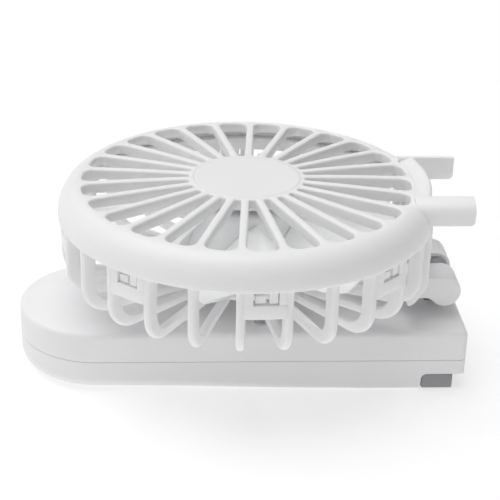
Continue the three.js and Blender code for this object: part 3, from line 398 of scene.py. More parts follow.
def board_material():
    """Solder mask with lighter copper runs and a few tinned pads."""
    material = moulded("circuit_board", (0.10, 0.36, 0.22), 0.35, 0.06)
    tree = material.node_tree
    shader = tree.nodes["Principled BSDF"]
    place = node(tree, "ShaderNodeTexCoord")
    runs = node(tree, "ShaderNodeTexBrick")
    runs.inputs["Color1"].default_value = (0.02, 0.13, 0.06, 1)
    runs.inputs["Color2"].default_value = (0.03, 0.17, 0.08, 1)
    runs.inputs["Mortar"].default_value = (0.06, 0.26, 0.13, 1)
    runs.inputs["Scale"].default_value = 260
    runs.inputs["Mortar Size"].default_value = 0.07
    wire(tree, place.outputs["Object"], runs.inputs["Vector"])
    wire(tree, runs.outputs["Color"], shader.inputs["Base Color"])
    return material


def clear_material():
    """The clear plastic of the lamps' light pipe."""
    material = moulded("clear_plastic", (0.88, 0.92, 0.95), 0.18, 0.02, 900, 0.000005)
    shader = material.node_tree.nodes["Principled BSDF"]
    shader.inputs["Transmission Weight"].default_value = 0.75
    return material


def translucent(material, weight, depth):
    """Lets light in under the surface, to a depth in metres."""
    shader = material.node_tree.nodes["Principled BSDF"]
    shader.inputs["Subsurface Weight"].default_value = weight
    shader.inputs["Subsurface Radius"].default_value = (depth, depth * 0.97, depth * 0.95)
    shader.inputs["Subsurface Scale"].default_value = 1.0
    return material


HEAD_WHITE = (0.975, 0.972, 0.974)
SHELL_WHITE = (0.955, 0.954, 0.96)
BLADE_WHITE = (0.955, 0.962, 0.964)
MATERIALS = {
    "head_plastic": translucent(
        moulded("head_plastic", HEAD_WHITE, 0.45, 0.012, edge_highlight_and_wear=0.3), 0.4, 0.0007
    ),
    "shell_plastic": moulded("shell_plastic", SHELL_WHITE, 0.5, 0.014, 1900, 0.00003, edge_highlight_and_wear=0.3),
    "blade_plastic": translucent(
        moulded("blade_plastic", BLADE_WHITE, 0.5, 0.012, 1500, 0.000002), 0.6, 0.0009
    ),
    # Grey for the socket and the hinge bracket; its darkness is partly painted shade, standing for the shade
    # inside the handle's notch.
    "grey_plastic": moulded("grey_plastic", (0.56, 0.56, 0.575), 0.55, 0.08, 1700, 0.00005, edge_highlight_and_wear=0.5),
    "steel": banded(moulded("steel", (0.88, 0.885, 0.895), 0.5, 0.05, metal=0.6), 900, 0.000004),
    "brass": banded(moulded("brass", (0.79, 0.65, 0.33), 0.32, 0.05, metal=1.0), 900, 0.000004),
    "copper_winding": banded(
        moulded("copper_winding", (0.72, 0.40, 0.22), 0.3, 0.1, metal=1.0), 900, 0.00008
    ),
    "laminated_iron": banded(
        moulded("laminated_iron", (0.42, 0.43, 0.45), 0.5, 0.1, metal=1.0), 500, 0.00004
    ),
    "ferrite": moulded("ferrite", (0.14, 0.14, 0.15), 0.6, 0.15, 900, 0.00004),
    "circuit_board": board_material(),
    "black_plastic": moulded("black_plastic", (0.09, 0.09, 0.10), 0.45, 0.15, edge_highlight_and_wear=0.4),
    "battery_foil": moulded("battery_foil", (0.66, 0.69, 0.72), 0.33, 0.05, 260, 0.00012, metal=0.8),
    "foam": moulded("foam", (0.2, 0.2, 0.21), 0.95, 0.25, 1100, 0.0003),
    "clear_plastic": clear_material(),
    "red_insulation": moulded("red_insulation", (0.70, 0.12, 0.09), 0.4, 0.08),
}

# ---- Mesh helpers ----

WELD = 0.000001
SHARP_ANGLE = math.radians(38)


def finished(name, body, slot, nodes):
    """Gives a made object its material, body and shading, and hides the CAD nodes it stands for."""
    obj = bpy.data.objects[name]
    mesh = obj.data
    bm = bmesh.new()
    bm.from_mesh(mesh)
    bmesh.ops.remove_doubles(bm, verts=bm.verts, dist=WELD)
    bmesh.ops.dissolve_degenerate(bm, dist=WELD, edges=bm.edges)
    for face in bm.faces:
        face.smooth = True
    for edge in bm.edges:
        edge.smooth = len(edge.link_faces) == 2 and edge.calc_face_angle(0) < SHARP_ANGLE
    bm.to_mesh(mesh)
    bm.free()
    mesh.materials.clear()
    mesh.materials.append(MATERIALS[slot])
    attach(obj, body)
    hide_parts(*nodes)


def raw_object(name, points, faces):
    """An object from points in millimetres, with its faces turned outwards."""
    mesh = bpy.data.meshes.new(name)
    mesh.from_pydata([Vector(p) * MM for p in points], [], faces)
    bm = bmesh.new()
    bm.from_mesh(mesh)
    bmesh.ops.remove_doubles(bm, verts=bm.verts, dist=WELD)
    bmesh.ops.recalc_face_normals(bm, faces=bm.faces)
    bm.to_mesh(mesh)
    bm.free()
    obj = bpy.data.objects.new(name, mesh)
    bpy.context.scene.collection.objects.link(obj)
    return obj


def loft(loops):
    """Points and faces of a closed skin over loops that all have the same number of points."""
    count = len(loops[0])
    points = [p for loop in loops for p in loop]
    faces = []
    for j in range(len(loops) - 1):
        for i in range(count):
            k = (i + 1) % count
            faces.append((j * count + i, j * count + k, (j + 1) * count + k, (j + 1) * count + i))
    faces.append(tuple(range(count))[::-1])
    faces.append(tuple(range((len(loops) - 1) * count, len(loops) * count)))
    return points, faces


def merged(*parts):
    """Several parts' points and faces as one."""
    points, faces = [], []
    for part_points, part_faces in parts:
        start = len(points)
        points += part_points
        faces += [tuple(i + start for i in f) for f in part_faces]
    return points, faces


def moved(part, matrix):
    points, faces = part
    return [tuple(matrix @ Vector(p)) for p in points], faces


def lathe(profile, steps, centre=(0, 0)):
    """A solid of revolution about Z: a profile that ends off the axis is closed into a ring."""
    points, faces = [], []
    rings = []
    for r, z in profile:
        if r < 1e-6:
            rings.append([len(points)])
            points.append((centre[0], centre[1], z))
            continue
        rings.append(list(range(len(points), len(points) + steps)))
        for i in range(steps):
            angle = 2 * math.pi * i / steps
            points.append((centre[0] + r * math.cos(angle), centre[1] + r * math.sin(angle), z))
    pairs = list(zip(rings, rings[1:]))
    if len(rings[0]) > 1:
        pairs.append((rings[-1], rings[0]))
    for a, b in pairs:
        for i in range(steps):
            k = (i + 1) % steps
            if len(a) == 1:
                faces.append((a[0], b[i], b[k]))
            elif len(b) == 1:
                faces.append((a[i], b[0], a[k]))
            else:
                faces.append((a[i], a[k], b[k], b[i]))
    return points, faces


def rounded_corner(x, z, radius, start, stop, steps=4):
    """Points round a corner centre, from one angle to another in degrees."""
    made = []
    for i in range(steps + 1):
        angle = math.radians(start + (stop - start) * i / steps)
        made.append((x + radius * math.cos(angle), z + radius * math.sin(angle)))
    return made


def applied(obj, kind, **values):
    """Adds one modifier and applies it at once."""
    modifier = obj.modifiers.new(kind, kind)
    for key, value in values.items():
        setattr(modifier, key, value)
    graph = bpy.context.evaluated_depsgraph_get()
    mesh = bpy.data.meshes.new_from_object(obj.evaluated_get(graph))
    obj.modifiers.clear()
    old = obj.data
    obj.data = mesh
    bpy.data.meshes.remove(old)


def combined(obj, operation, tool):
    applied(obj, "BOOLEAN", object=tool, operation=operation, solver="EXACT")
    bpy.data.objects.remove(tool)


def carve(obj, *parts):
    """Cuts closed parts out of an object."""
    for points, faces in parts:
        combined(obj, "DIFFERENCE", raw_object(obj.name + "_cutter", points, faces))


def unite(obj, *parts):
    """Joins closed parts to an object."""
    for points, faces in parts:
        combined(obj, "UNION", raw_object(obj.name + "_added", points, faces))


def soften(obj, width, segments, angle):
    """Rounds the edges where an object's faces turn by more than an angle in degrees."""
    applied(
        obj,
        "BEVEL",
        width=width * MM,
        segments=segments,
        limit_method="ANGLE",
        angle_limit=math.radians(angle),
        use_clamp_overlap=True,
        harden_normals=False,
        miter_outer="MITER_ARC",
    )


def block(x0, x1, y0, y1, z0, z1):
    """A plain box, used for cutting and as a start for rounded shapes."""
    points = [(x, y, z) for z in (z0, z1) for x, y in ((x0, y0), (x1, y0), (x1, y1), (x0, y1))]
    faces = [(3, 2, 1, 0), (4, 5, 6, 7), (0, 1, 5, 4), (1, 2, 6, 5), (2, 3, 7, 6), (3, 0, 4, 7)]
    return points, faces


def prism_y(outline, y0, y1):
    """An outline of (x, z) points drawn out along Y."""
    return loft([[(x, y0, z) for x, z in outline], [(x, y1, z) for x, z in outline]])


def prism_z(outline, z0, z1):
    """An outline of (x, y) points drawn out along Z."""
    return loft([[(x, y, z0) for x, y in outline], [(x, y, z1) for x, y in outline]])


def circle(x, y, radius, steps):
    turns = [2 * math.pi * i / steps for i in range(steps)]
    return [(x + radius * math.cos(a), y + radius * math.sin(a)) for a in turns]


def placed_head(part):
    """From the head's own frame, centre of its front plane, to the row frame."""
    return moved(part, Matrix.Translation((HEAD_X, 0, HEAD_Z)))


# ---- Head: front grille and ring in one moulding ----


def front_height(r):
    """Height of the front face at a radius: a shallow dome, then the ring's rounded shoulder."""
    if r <= SLOT_R:
        return -DOME_DROP * (r / SLOT_R) ** 2
    across = min(1, (r - SLOT_R) / (RING_R - SLOT_R))
    return -DOME_DROP - (RING_DEPTH - 1 - DOME_DROP) * (1 - math.sqrt(1 - across * across))


def under_height(r):
    """Height of the spokes' underside and of the web behind the ring."""
    return -SPOKE_THICK - SPOKE_DROP * max(0, (r - HUB_R) / (SHOULDER_R - HUB_R))


def slot_outline(grow):
    """One slot between two spokes, about the X axis, made larger all round by grow."""
    half = PITCH / 2
    spoke = SPOKE_HALF - grow
    start = HUB_R + 0.1 - grow
    end = SLOT_R + grow
    corner = SLOT_CORNER + grow
    inner = SLOT_TIP_CORNER + grow

    def side(rho):
        along = math.sqrt(rho * rho - spoke * spoke)
        return along * math.sin(half) - spoke * math.cos(half)

    inner_end = []
    for i in range(5):
        a = math.pi / 2 * i / 4
        rho = start + inner * (1 - math.sin(a))
        y = side(rho) - inner * (1 - math.cos(a))
        inner_end.append((rho, max(y, SLOT_TIP_HALF)))
    inner_end.sort(key=lambda p: p[0])
    run = []
    first = start + inner
    last = end - corner
    for i in range(1, 10):
        rho = first + (last - first) * i / 10
        run.append((rho, side(rho)))
    outer_end = []
    for i in range(7):
        a = math.pi / 2 * i / 6
        rho = last + corner * math.sin(a)
        y = side(rho) - corner * (1 - math.cos(a))
        outer_end.append((rho, y))
    upper = inner_end + run + outer_end
    upper = [(math.sqrt(rho * rho - y * y), y) for rho, y in upper]
    lower = [(x, -y) for x, y in reversed(upper)]
    return upper + [(end, 0.0)] + lower


def front_moulding():
    """Spokes, hub and ring: a plan filled twice, for top and underside, with rounded slot walls."""
    steps = SPOKES * RING_POINTS_PER_SPOKE
    hub_steps = SPOKES * HUB_POINTS_PER_SPOKE
    # Each layer is how far the slots grow, the height from a surface, and that surface
    layers = []
    for i in range(4):
        a = math.pi / 2 * i / 3
        along, down = 1 - math.sin(a), 1 - math.cos(a)
        layers.append((SLOT_FILLET * along, -SLOT_FILLET * down, front_height))
    layers.append((0.1, 0.25, under_height))
    layers.append((0.3, 0.0, under_height))
    outlines = [slot_outline(layer[0]) for layer in layers]
    per_slot = len(outlines[0])

    def loops(layer):
        rise, surface = layers[layer][1:]
        made = []
        for s in range(SPOKES):
            angle = FIRST_SPOKE + PITCH * (s + 0.5)
            c, d = math.cos(angle), math.sin(angle)
            for x, y in outlines[layer]:
                r = math.hypot(x, y)
                made.append((x * c - y * d, x * d + y * c, surface(r) + rise))
        return made

    def ring_points(radius, z, count):
        return [(x, y, z) for x, y in circle(0, 0, radius, count)]

    points, faces = [], []
    starts = []
    for layer in range(len(layers)):
        starts.append(len(points))
        points += loops(layer)
    for layer in range(len(layers) - 1):
        for s in range(SPOKES):
            for i in range(per_slot):
                k = (i + 1) % per_slot
                a, b = starts[layer] + s * per_slot, starts[layer + 1] + s * per_slot
                faces.append((a + i, a + k, b + k, b + i))
    # Plan triangles, the same for the top and the underside
    top_loop = loops(0)
    outer_top = ring_points(SHOULDER_R, front_height(SHOULDER_R), steps)
    inner_top = ring_points(RECESS_R, front_height(RECESS_R), hub_steps)
    plan = [Vector(p[:2]) for p in top_loop + outer_top + inner_top]
    edges = []
    for s in range(SPOKES):
        edges += [(s * per_slot + i, s * per_slot + (i + 1) % per_slot) for i in range(per_slot)]
    base = len(top_loop)
    edges += [(base + i, base + (i + 1) % steps) for i in range(steps)]
    base += steps
    edges += [(base + i, base + (i + 1) % hub_steps) for i in range(hub_steps)]
    result = delaunay_2d_cdt(plan, edges, [], 0, 1e-7)
    flat, triangles, origins = result[0], result[2], result[3]
    source = [olds[0] for olds in origins]

    def group(index):
        return index // per_slot if index < len(top_loop) else -1

    outer_top_start = len(points)
    points += outer_top
    inner_top_start = len(points)
    points += inner_top
    outer_low_start = len(points)
    points += ring_points(SHOULDER_R, under_height(SHOULDER_R), steps)
    inner_low_start = len(points)
    points += ring_points(RECESS_R, under_height(RECESS_R), hub_steps)
    low_layer = starts[-1]

    def top_index(i):
        if i < len(top_loop):
            return starts[0] + i
        i -= len(top_loop)
        return outer_top_start + i if i < steps else inner_top_start + i - steps

    def low_index(i):
        if i < len(top_loop):
            return low_layer + i
        i -= len(top_loop)
        return outer_low_start + i if i < steps else inner_low_start + i - steps

    for tri in triangles:
        ids = [source[i] for i in tri]
        groups = {group(i) for i in ids}
        centre = sum((flat[i] for i in tri), Vector((0, 0))) / 3
        if len(groups) == 1 and -1 not in groups:
            angle = math.atan2(centre.y, centre.x) - FIRST_SPOKE
            across = (angle % PITCH) - PITCH / 2
            rho = centre.length
            if in_slot(outlines[0], rho * math.cos(across), rho * math.sin(across)):
                continue
        if centre.length < RECESS_R * 0.999 and all(i >= len(top_loop) + steps for i in ids):
            continue
        faces.append(tuple(top_index(i) for i in ids))
        faces.append(tuple(low_index(i) for i in reversed(ids)))
    # Ring: shoulder, outer wall, lip and inner wall
    profile = []
    for i in range(1, 11):
        r = SLOT_R + (RING_R - SLOT_R) * math.sin(math.pi / 2 * (0.17 + 0.83 * i / 10))
        profile.append((r, front_height(r)))
    inner = RING_R - RING_WALL
    low = -RING_DEPTH
    profile += [(RING_R, low + 0.35), (RING_R - 0.12, low + 0.1), (RING_R - 0.35, low)]
    profile += [(inner + 0.25, low), (inner, low + 0.25)]
    profile += [(inner, -6.6), (inner - 0.5, -5.2), (inner - 1.6, -4.3)]
    rings = [outer_top_start]
    for r, z in profile:
        rings.append(len(points))
        points += ring_points(r, z, steps)
    rings.append(outer_low_start)
    for a, b in zip(rings, rings[1:]):
        faces += [(a + i, a + (i + 1) % steps, b + (i + 1) % steps, b + i) for i in range(steps)]
    # Hub: recess for the cap, and the closed underside
    start = len(points)
    points += ring_points(RECESS_R, -CAP_RECESS, hub_steps)
    points += [(0, 0, -CAP_RECESS), (0, 0, under_height(0))]
    centre_top = start + hub_steps
    for i in range(hub_steps):
        k = (i + 1) % hub_steps
        faces.append((inner_top_start + i, inner_top_start + k, start + k, start + i))
        faces.append((start + i, start + k, centre_top))
        faces.append((inner_low_start + i, inner_low_start + k, centre_top + 1))
    return points, faces


def in_slot(outline, x, y):
    """Whether a point lies inside a slot's outline."""
    inside = False
    for i, (x0, y0) in enumerate(outline):
        x1, y1 = outline[i - 1]
        if (y0 > y) != (y1 > y) and x < (x1 - x0) * (y - y0) / (y1 - y0) + x0:
            inside = not inside
    return inside


def neck_plate():
    """The plate under the prongs: it rises from the ring's shoulder and ends in a round lip."""
    lip = RING_R - 1.1
    start = SLOT_R + 0.9
    steps = 24
    loops = []
    for i in range(steps + 1):
        y = (PRONG_IN + 0.6) * (2 * i / steps - 1)
        section = [(start, -PRONG_DEPTH), (lip - 0.5, -PRONG_DEPTH)]
        section += rounded_corner(lip - 0.5, -PRONG_DEPTH + 0.5, 0.5, -60, 0, 2)
        section += rounded_corner(lip - 0.8, -0.8, 0.8, 0, 90, 4)
        for j in range(1, 8):
            t = j / 7
            rise = front_height(start) * (t * t * (3 - 2 * t))
            section.append((lip - 0.8 + (start - lip + 0.8) * t, rise))
        loops.append([(math.sqrt(r * r - y * y), y, z) for r, z in section])
    return loft(loops)


def prong(side):
    """One prong: flat inner face, rounded outer shoulder and a softened end."""
    y_in, y_out = PRONG_IN, PRONG_OUT
    drop = PRONG_DEPTH - 3.0
    section = []
    for i in range(9):
        a = math.pi / 2 * i / 8
        section.append((y_in + (y_out - y_in) * math.cos(a), -drop + drop * math.sin(a)))
    root = math.sqrt((SLOT_R + 0.9) ** 2 - y_in**2)
    loops = []
    for x, lift in [(root, 0)] + rounded_corner(PRONG_END - PRONG_NOSE, 0, PRONG_NOSE, 90, 10, 5):
        low = -PRONG_DEPTH + (PRONG_NOSE - lift if x > root else 0)
        loops.append([(x, side * y, z) for y, z in [(y_in, low), (y_out, low)] + section])
    return loft(loops)


def make_front():
    obj = raw_object("front_moulding", *placed_head(front_moulding()))
    plate = raw_object("neck_tongue", *placed_head(neck_plate()))
    unite(plate, placed_head(prong(1)), placed_head(prong(-1)))
    soften(plate, 0.5, 3, 40)
    half = NECK_HALF + 0.3
    neck_room = block(SLOT_R - 3, RING_R + 1, -half, half, -RING_DEPTH - 1, -PRONG_DEPTH)
    carve(obj, placed_head(neck_room))
    finished("front_moulding", "head", "head_plastic", ["front_ring", "front_grille"])
    finished("neck_tongue", "head", "head_plastic", [])


def make_cap():
    radius = (CAP_HIGH.y - CAP_LOW.y) / 2
    thick = CAP_HIGH.z - CAP_LOW.z
    profile = [(0, -0.02), (radius * 0.5, -0.02), (radius - 1.2, -0.04)]
    profile += rounded_corner(radius - 0.12, -0.19, 0.12, 90, 0, 3)
    profile += [(radius, -thick), (0, -thick)]
    raw_object("front_cap", *placed_head(lathe(profile, ROUND_STEPS)))
    finished("front_cap", "head", "head_plastic", ["grille_cap"])


# ---- Head: rear cage ----


def rib(index):
    """A bent bar: down the side, round the corner and in along the back to the hub."""
    outer, inner = [], []
    top = -RING_DEPTH + 1.2
    bottom = -HEAD_DEPTH
    bend = RIB_CORNER - BAR
    inside = RIB_OUT - RIB_DEPTH
    for z in (top, -11.0, -14.5):
        outer.append((RIB_OUT, z))
        inner.append((inside, z))
    for i in range(9):
        a = math.pi / 2 * i / 8
        along, down = 1 - math.cos(a), 1 - math.sin(a)
        outer.append((RIB_OUT - RIB_CORNER * along, bottom + RIB_CORNER * down))
        inner.append((inside - bend * along, bottom + BAR + bend * down))
    for r in (33.0, 25.0, HUB_PLATE_R - 0.9):
        outer.append((r, bottom))
        inner.append((r, bottom + BAR))
    # Each corner of the section: 0 outside or 1 inside, which side, and its radius
    section = [(0, 1, RIB_SOFT_OUT), (1, 1, RIB_SOFT_IN), (1, -1, RIB_SOFT_IN), (0, -1, RIB_SOFT_OUT)]
    loops = []
    for (ox, oz), (ix, iz) in zip(outer, inner):
        deep = math.hypot(ix - ox, iz - oz)
        ux, uz = (ix - ox) / deep, (iz - oz) / deep
        loop = []
        for b, a, radius in section:
            centre_b = radius if b == 0 else deep - radius
            centre_a = a * (RIB_HALF - radius)
            for i in range(5):
                turn = math.pi / 2 * i / 4
                if (b == 0) == (a == 1):
                    da, db = math.sin(turn), math.cos(turn)
                else:
                    da, db = math.cos(turn), math.sin(turn)
                db = -db if b == 0 else db
                across = centre_a + a * radius * da
                depth = centre_b + radius * db
                loop.append((ox + ux * depth, across, oz + uz * depth))
        loops.append(loop)
    part = loft(loops)
    return moved(part, turn_z(FIRST_SPOKE + PITCH * index))


def arc_block(r0, r1, a0, a1, z0, z1):
    """A box bent round the head's axis."""
    loops = []
    for i in range(7):
        a = a0 + (a1 - a0) * i / 6
        x, y = math.cos(a), math.sin(a)
        section = [(r0, z0), (r1, z0), (r1, z1), (r0, z1)]
        loops.append([(r * x, r * y, z) for r, z in section])
    return loft(loops)


def snap_tab(gap):
    """A panel joining two ribs, with a window for the ring's latch."""
    start = FIRST_SPOKE + PITCH * gap
    stop = start + PITCH
    outer = RIB_OUT - 0.12
    inner = outer - TAB_THICK
    low = -RING_DEPTH - TAB_DEPTH
    window_low = -RING_DEPTH - WINDOW_DEPTH
    top = -RING_DEPTH + 0.8
    window_start, left_stop, right_start, window_stop = [start + PITCH * s for s in WINDOW_SHARES]
    latch, latch_low = inner - 0.2, -RING_DEPTH - 2.9
    return [
        arc_block(inner, outer, start, stop, low, window_low),
        arc_block(inner, outer, start, window_start, window_low, top),
        arc_block(inner, outer, window_stop, stop, window_low, top),
        arc_block(latch, outer - 0.5, window_start + 0.01, left_stop, latch_low, -RING_DEPTH - 1.1),
        arc_block(latch, outer - 0.3, right_start, window_stop - 0.008, latch_low, -RING_DEPTH + 0.5),
    ]


def tab_gaps():
    """The gaps between ribs that hold a tab; the neck takes the place of one."""
    gaps = [int(i * SPOKES / TABS + 0.5) for i in range(TABS)]
    return [g for g in gaps if math.cos(FIRST_SPOKE + PITCH * (g + 0.5)) < 0.9]


def hub_plate():
    """The cage's round back plate, with the collar that holds the motor."""
    top = GUARD_HIGH.z - HEAD_Z
    back = -HEAD_DEPTH
    plate = back + 1.8
    outer = HUB_PLATE_R
    profile = [(0, back + 0.25), (11.6, back + 0.25), (11.9, back + 0.02), (outer - 0.7, back)]
    profile += rounded_corner(outer - 0.6, back + 0.6, 0.6, -90, 0, 3)
    profile += rounded_corner(outer - 0.4, plate - 0.4, 0.4, 0, 90, 3)
    profile += [(COLLAR_R + 0.4, plate), (COLLAR_R, plate + 0.4), (COLLAR_R, top - 0.3)]
    profile += [(COLLAR_R - 0.3, top), (COLLAR_BORE, top), (COLLAR_BORE, plate), (0, plate)]
    return lathe(profile, ROUND_STEPS)


def neck_profile():
    """The neck block seen along the hinge, chamfered at its foot."""
    foot = NECK_FOOT
    back = NECK_X - 5
    outline = [(back, -PRONG_DEPTH - 0.3)]
    outline += rounded_corner(NECK_X - 0.8, -PRONG_DEPTH - 1.1, 0.8, 90, 0, 4)
    outline += [(NECK_X, foot + 6.2), (NECK_X - 0.35, foot + 4.7), (NECK_X - 3.1, foot + 0.7)]
    outline += [(NECK_X - 4.2, foot), (back, foot)]
    return outline


def arm_profile():
    """The arm and its barrel, seen along the hinge: a straight arm that swells into a round end."""
    x, z = HINGE.x - HEAD_X, HINGE.z - HEAD_Z
    back = NECK_X - 4.5
    low = z - 1.8
    outline = [(back, z + KNUCKLE_R - 0.1), (x, z + KNUCKLE_R)]
    outline += rounded_corner(x, z, KNUCKLE_R, 84, -128, 26)
    outline += [(x - 3.3, low - 0.55), (x - 4.2, low - 0.1), (x - 5.2, low), (back, low)]
    return outline


def make_cage():
    ribs = [rib(i) for i in range(SPOKES)]
    rim_out = RING_R - RING_WALL - 0.3
    rim = arc_ring(rim_out - 2.1, rim_out, -RING_DEPTH - 0.55, -RING_DEPTH + 2.6)
    tabs = [part for gap in tab_gaps() for part in snap_tab(gap)]
    cage = raw_object("cage_bars", *placed_head(merged(*ribs)))
    far = block(NECK_X - 0.4, RING_R + 2, -NECK_HALF, NECK_HALF, -HEAD_DEPTH - 2, 0)
    carve(cage, placed_head(far))
    finished("cage_bars", "head", "head_plastic", ["rear_cage", "rear_guard"])
    skirt = raw_object("cage_tabs", *placed_head(merged(*tabs)))
    soften(skirt, 0.22, 2, 40)
    finished("cage_tabs", "head", "head_plastic", [])
    band = raw_object("cage_rim", *placed_head(rim))
    carve(band, placed_head(far))
    finished("cage_rim", "head", "head_plastic", [])
    raw_object("guard_hub", *placed_head(hub_plate()))
    finished("guard_hub", "head", "head_plastic", [])


def arc_ring(r0, r1, z0, z1):
    """A flat ring round the head's axis with its outer lower edge cut back."""
    profile = [(r0, z0), (r1 - 0.3, z0), (r1, z0 + 0.3), (r1, z1), (r0, z1)]
    return lathe(profile, SPOKES * RIM_POINTS_PER_SPOKE)


def make_neck():
    neck = raw_object("hinge_neck", *placed_head(prism_y(neck_profile(), -NECK_HALF, NECK_HALF)))
    inside = NECK_HALF - 2
    low = NECK_FOOT + 3.4
    carve(neck, placed_head(block(NECK_X - 6, NECK_X - 2.4, -inside, inside, low, 0)))
    soften(neck, 0.7, 3, 50)
    finished("hinge_neck", "head", "head_plastic", [])
    for name, side in (("knuckle_front", -1), ("knuckle_rear", 1)):
        y0, y1 = sorted((side * KNUCKLE_IN, side * KNUCKLE_OUT))
        arm = raw_object(name, *placed_head(prism_y(arm_profile(), y0, y1)))
        x, z = HINGE.x - HEAD_X, HINGE.z - HEAD_Z
        bore = prism_y(circle(x, z, KNUCKLE_BORE, 32), -KNUCKLE_OUT + 2, KNUCKLE_OUT - 2)
        carve(arm, placed_head(bore))
        soften(arm, 0.3, 2, 50)
        finished(name, "head", "head_plastic", [])


# ---- Impeller ----


def impeller_blade(index):
    """A swept, cambered blade with rounded tip corners, thinning towards its edges."""
    rows, columns = 20, 16
    middle = (IMPELLER_LOW.z + IMPELLER_HIGH.z) / 2 - HEAD_Z
    root, tip = BLADE_ROOT, BLADE_TIP
    loops = []
    for j in range(rows + 1):
        out = math.sin(math.pi / 2 * j / rows)
        radius = root + (tip - root) * out
        height = BLADE_HEIGHT - BLADE_TAPER * out
        narrow = 1 - BLADE_TIP_ROUND * max(0, (out - 0.8) / 0.2) ** 2
        top, low = [], []
        for i in range(columns + 1):
            chord = -0.5 * math.cos(math.pi * i / columns)
            angle = math.radians(BLADE_SPAN * chord * narrow + BLADE_SWEEP * out)
            angle += 2 * math.pi / BLADES * index
            arch = 1 - 4 * chord * chord
            z = middle + chord * narrow * height + BLADE_CAMBER * arch * (1 - 0.4 * out)
            thick = BLADE_EDGE + BLADE_THICK * arch * (1 - 0.35 * out)
            x, y = radius * math.cos(angle), radius * math.sin(angle)
            top.append((x, y, z + thick))
            low.append((x, y, z - thick))
        loops.append(top + low[::-1])
    return loft(loops)


def make_impeller():
    top = IMPELLER_HIGH.z - HEAD_Z
    low = IMPELLER_LOW.z - HEAD_Z
    radius = ROTOR_R
    inside = radius - 1.4
    profile = [(0, top - 0.55), (4.2, top - 0.55), (4.6, top - 0.1), (5.2, top), (radius - 2.4, top)]
    profile += rounded_corner(radius - 1.8, top - 1.8, 1.8, 90, 0, 6)
    profile += [(radius, low + 0.2), (radius - 0.2, low), (inside, low), (inside, top - 2)]
    profile += [(SHAFT_HOLE_R, top - 2), (SHAFT_HOLE_R, top - 0.8), (0, top - 0.8)]
    blades = [impeller_blade(i) for i in range(BLADES)]
    raw_object("impeller_moulding", *placed_head(merged(lathe(profile, ROUND_STEPS), *blades)))
    finished("impeller_moulding", "impeller", "blade_plastic", ["impeller"])


# ---- Handle ----


def handle_loop(inset, z):
    """The handle's outline at one height: half round at the grip end, square at the hinge end."""
    radius = HALF_WIDTH - inset
    centre = -HALF_LENGTH + HALF_WIDTH
    end = HALF_LENGTH - inset
    corner = max(END_CORNER - 0.6 * inset, 0.5)
    loop = []
    for t in (0, 0.25, 0.5, 0.75):
        loop.append((centre + (end - corner - centre) * t, -radius))
    loop += rounded_corner(end - corner, -radius + corner, corner, -90, 0, 5)
    loop += [(end, -radius * 0.5), (end, 0), (end, radius * 0.5)]
    loop += rounded_corner(end - corner, radius - corner, corner, 0, 90, 5)
    for t in (0.75, 0.5, 0.25, 0):
        loop.append((centre + (end - corner - centre) * t, radius))
    for i in range(1, 40):
        a = math.pi / 2 + math.pi * i / 40
        loop.append((centre + radius * math.cos(a), radius * math.sin(a)))
    return [(x, y, z) for x, y in loop]


def upper_shell():
    """The shell above the seam, from its ceiling round the lip to its rounded top edge."""
    low, top = PARTING_HIGH, HANDLE_TOP
    ceiling = top - WALL
    places = [(WALL + 0.6, ceiling), (WALL, ceiling - 0.6), (WALL, low + 0.85), (0.3, low + 0.85)]
    places += [(0.3, low), (SEAM_SOFT, low), (0, low + SEAM_SOFT)]
    for i in range(6):
        a = math.pi / 2 * i / 5
        places.append((TOP_EDGE * (1 - math.cos(a)), top - TOP_EDGE * (1 - math.sin(a))))
    return loft([handle_loop(inset, z) for inset, z in places])


def lower_shell():
    """The shell below the seam, whose bottom edge is much rounder at the grip end."""
    high = PARTING_LOW
    places = [(WALL + 0.6, WALL), (WALL, WALL + 0.6), (WALL, high + 0.95), (0.35, high + 0.95)]
    places += [(0.35, high), (SEAM_SOFT, high), (0, high - SEAM_SOFT)]
    loops = [handle_loop(inset, z) for inset, z in places]
    for i in range(7):
        a = math.pi / 2 * i / 6
        along, down = 1 - math.cos(a), 1 - math.sin(a)
        small = handle_loop(LOW_EDGE * along, LOW_EDGE * down)
        large = handle_loop(GRIP_EDGE * along, GRIP_EDGE * down)
        loops.append([Vector(p).lerp(Vector(q), grip_share(p[0])) for p, q in zip(small, large)])
    return loft(loops)


def grip_share(x):
    """1 round the grip end, falling smoothly to 0 towards the hinge end."""
    t = min(1, max(0, (x + HALF_LENGTH - HALF_WIDTH) / (HALF_LENGTH * 1.2)))
    return 1 - t * t * (3 - 2 * t)


def port_outline(grow):
    """The charging port's round-ended opening."""
    x = (PORT_LOW.x + PORT_HIGH.x) / 2
    z = (PORT_LOW.z + PORT_HIGH.z) / 2
    radius = (PORT_HIGH.z - PORT_LOW.z) / 2 + grow
    half = (PORT_HIGH.x - PORT_LOW.x) / 2 + grow - radius
    right = rounded_corner(x + half, z, radius, -90, 90, 10)
    return right + rounded_corner(x - half, z, radius, 90, 270, 10)


def notch_outline():
    """The notch seen from the side: a slanted, rounded inner corner and a softened overhang."""
    outline = [(NOTCH_X - 1.1, -1), (NOTCH_X - 0.25, 0.0), (NOTCH_X + 0.1, NOTCH_Z - 2.2)]
    outline += rounded_corner(NOTCH_X + 1.6, NOTCH_Z - 1.5, 1.5, 180, 90, 5)
    outline += [(HALF_LENGTH - 1.0, NOTCH_Z), (HALF_LENGTH - 0.3, NOTCH_Z - 0.3)]
    outline += [(HALF_LENGTH + 0.5, NOTCH_Z - 1.2), (HALF_LENGTH + 3, NOTCH_Z - 1.2)]
    outline += [(HALF_LENGTH + 3, -1)]
    return outline


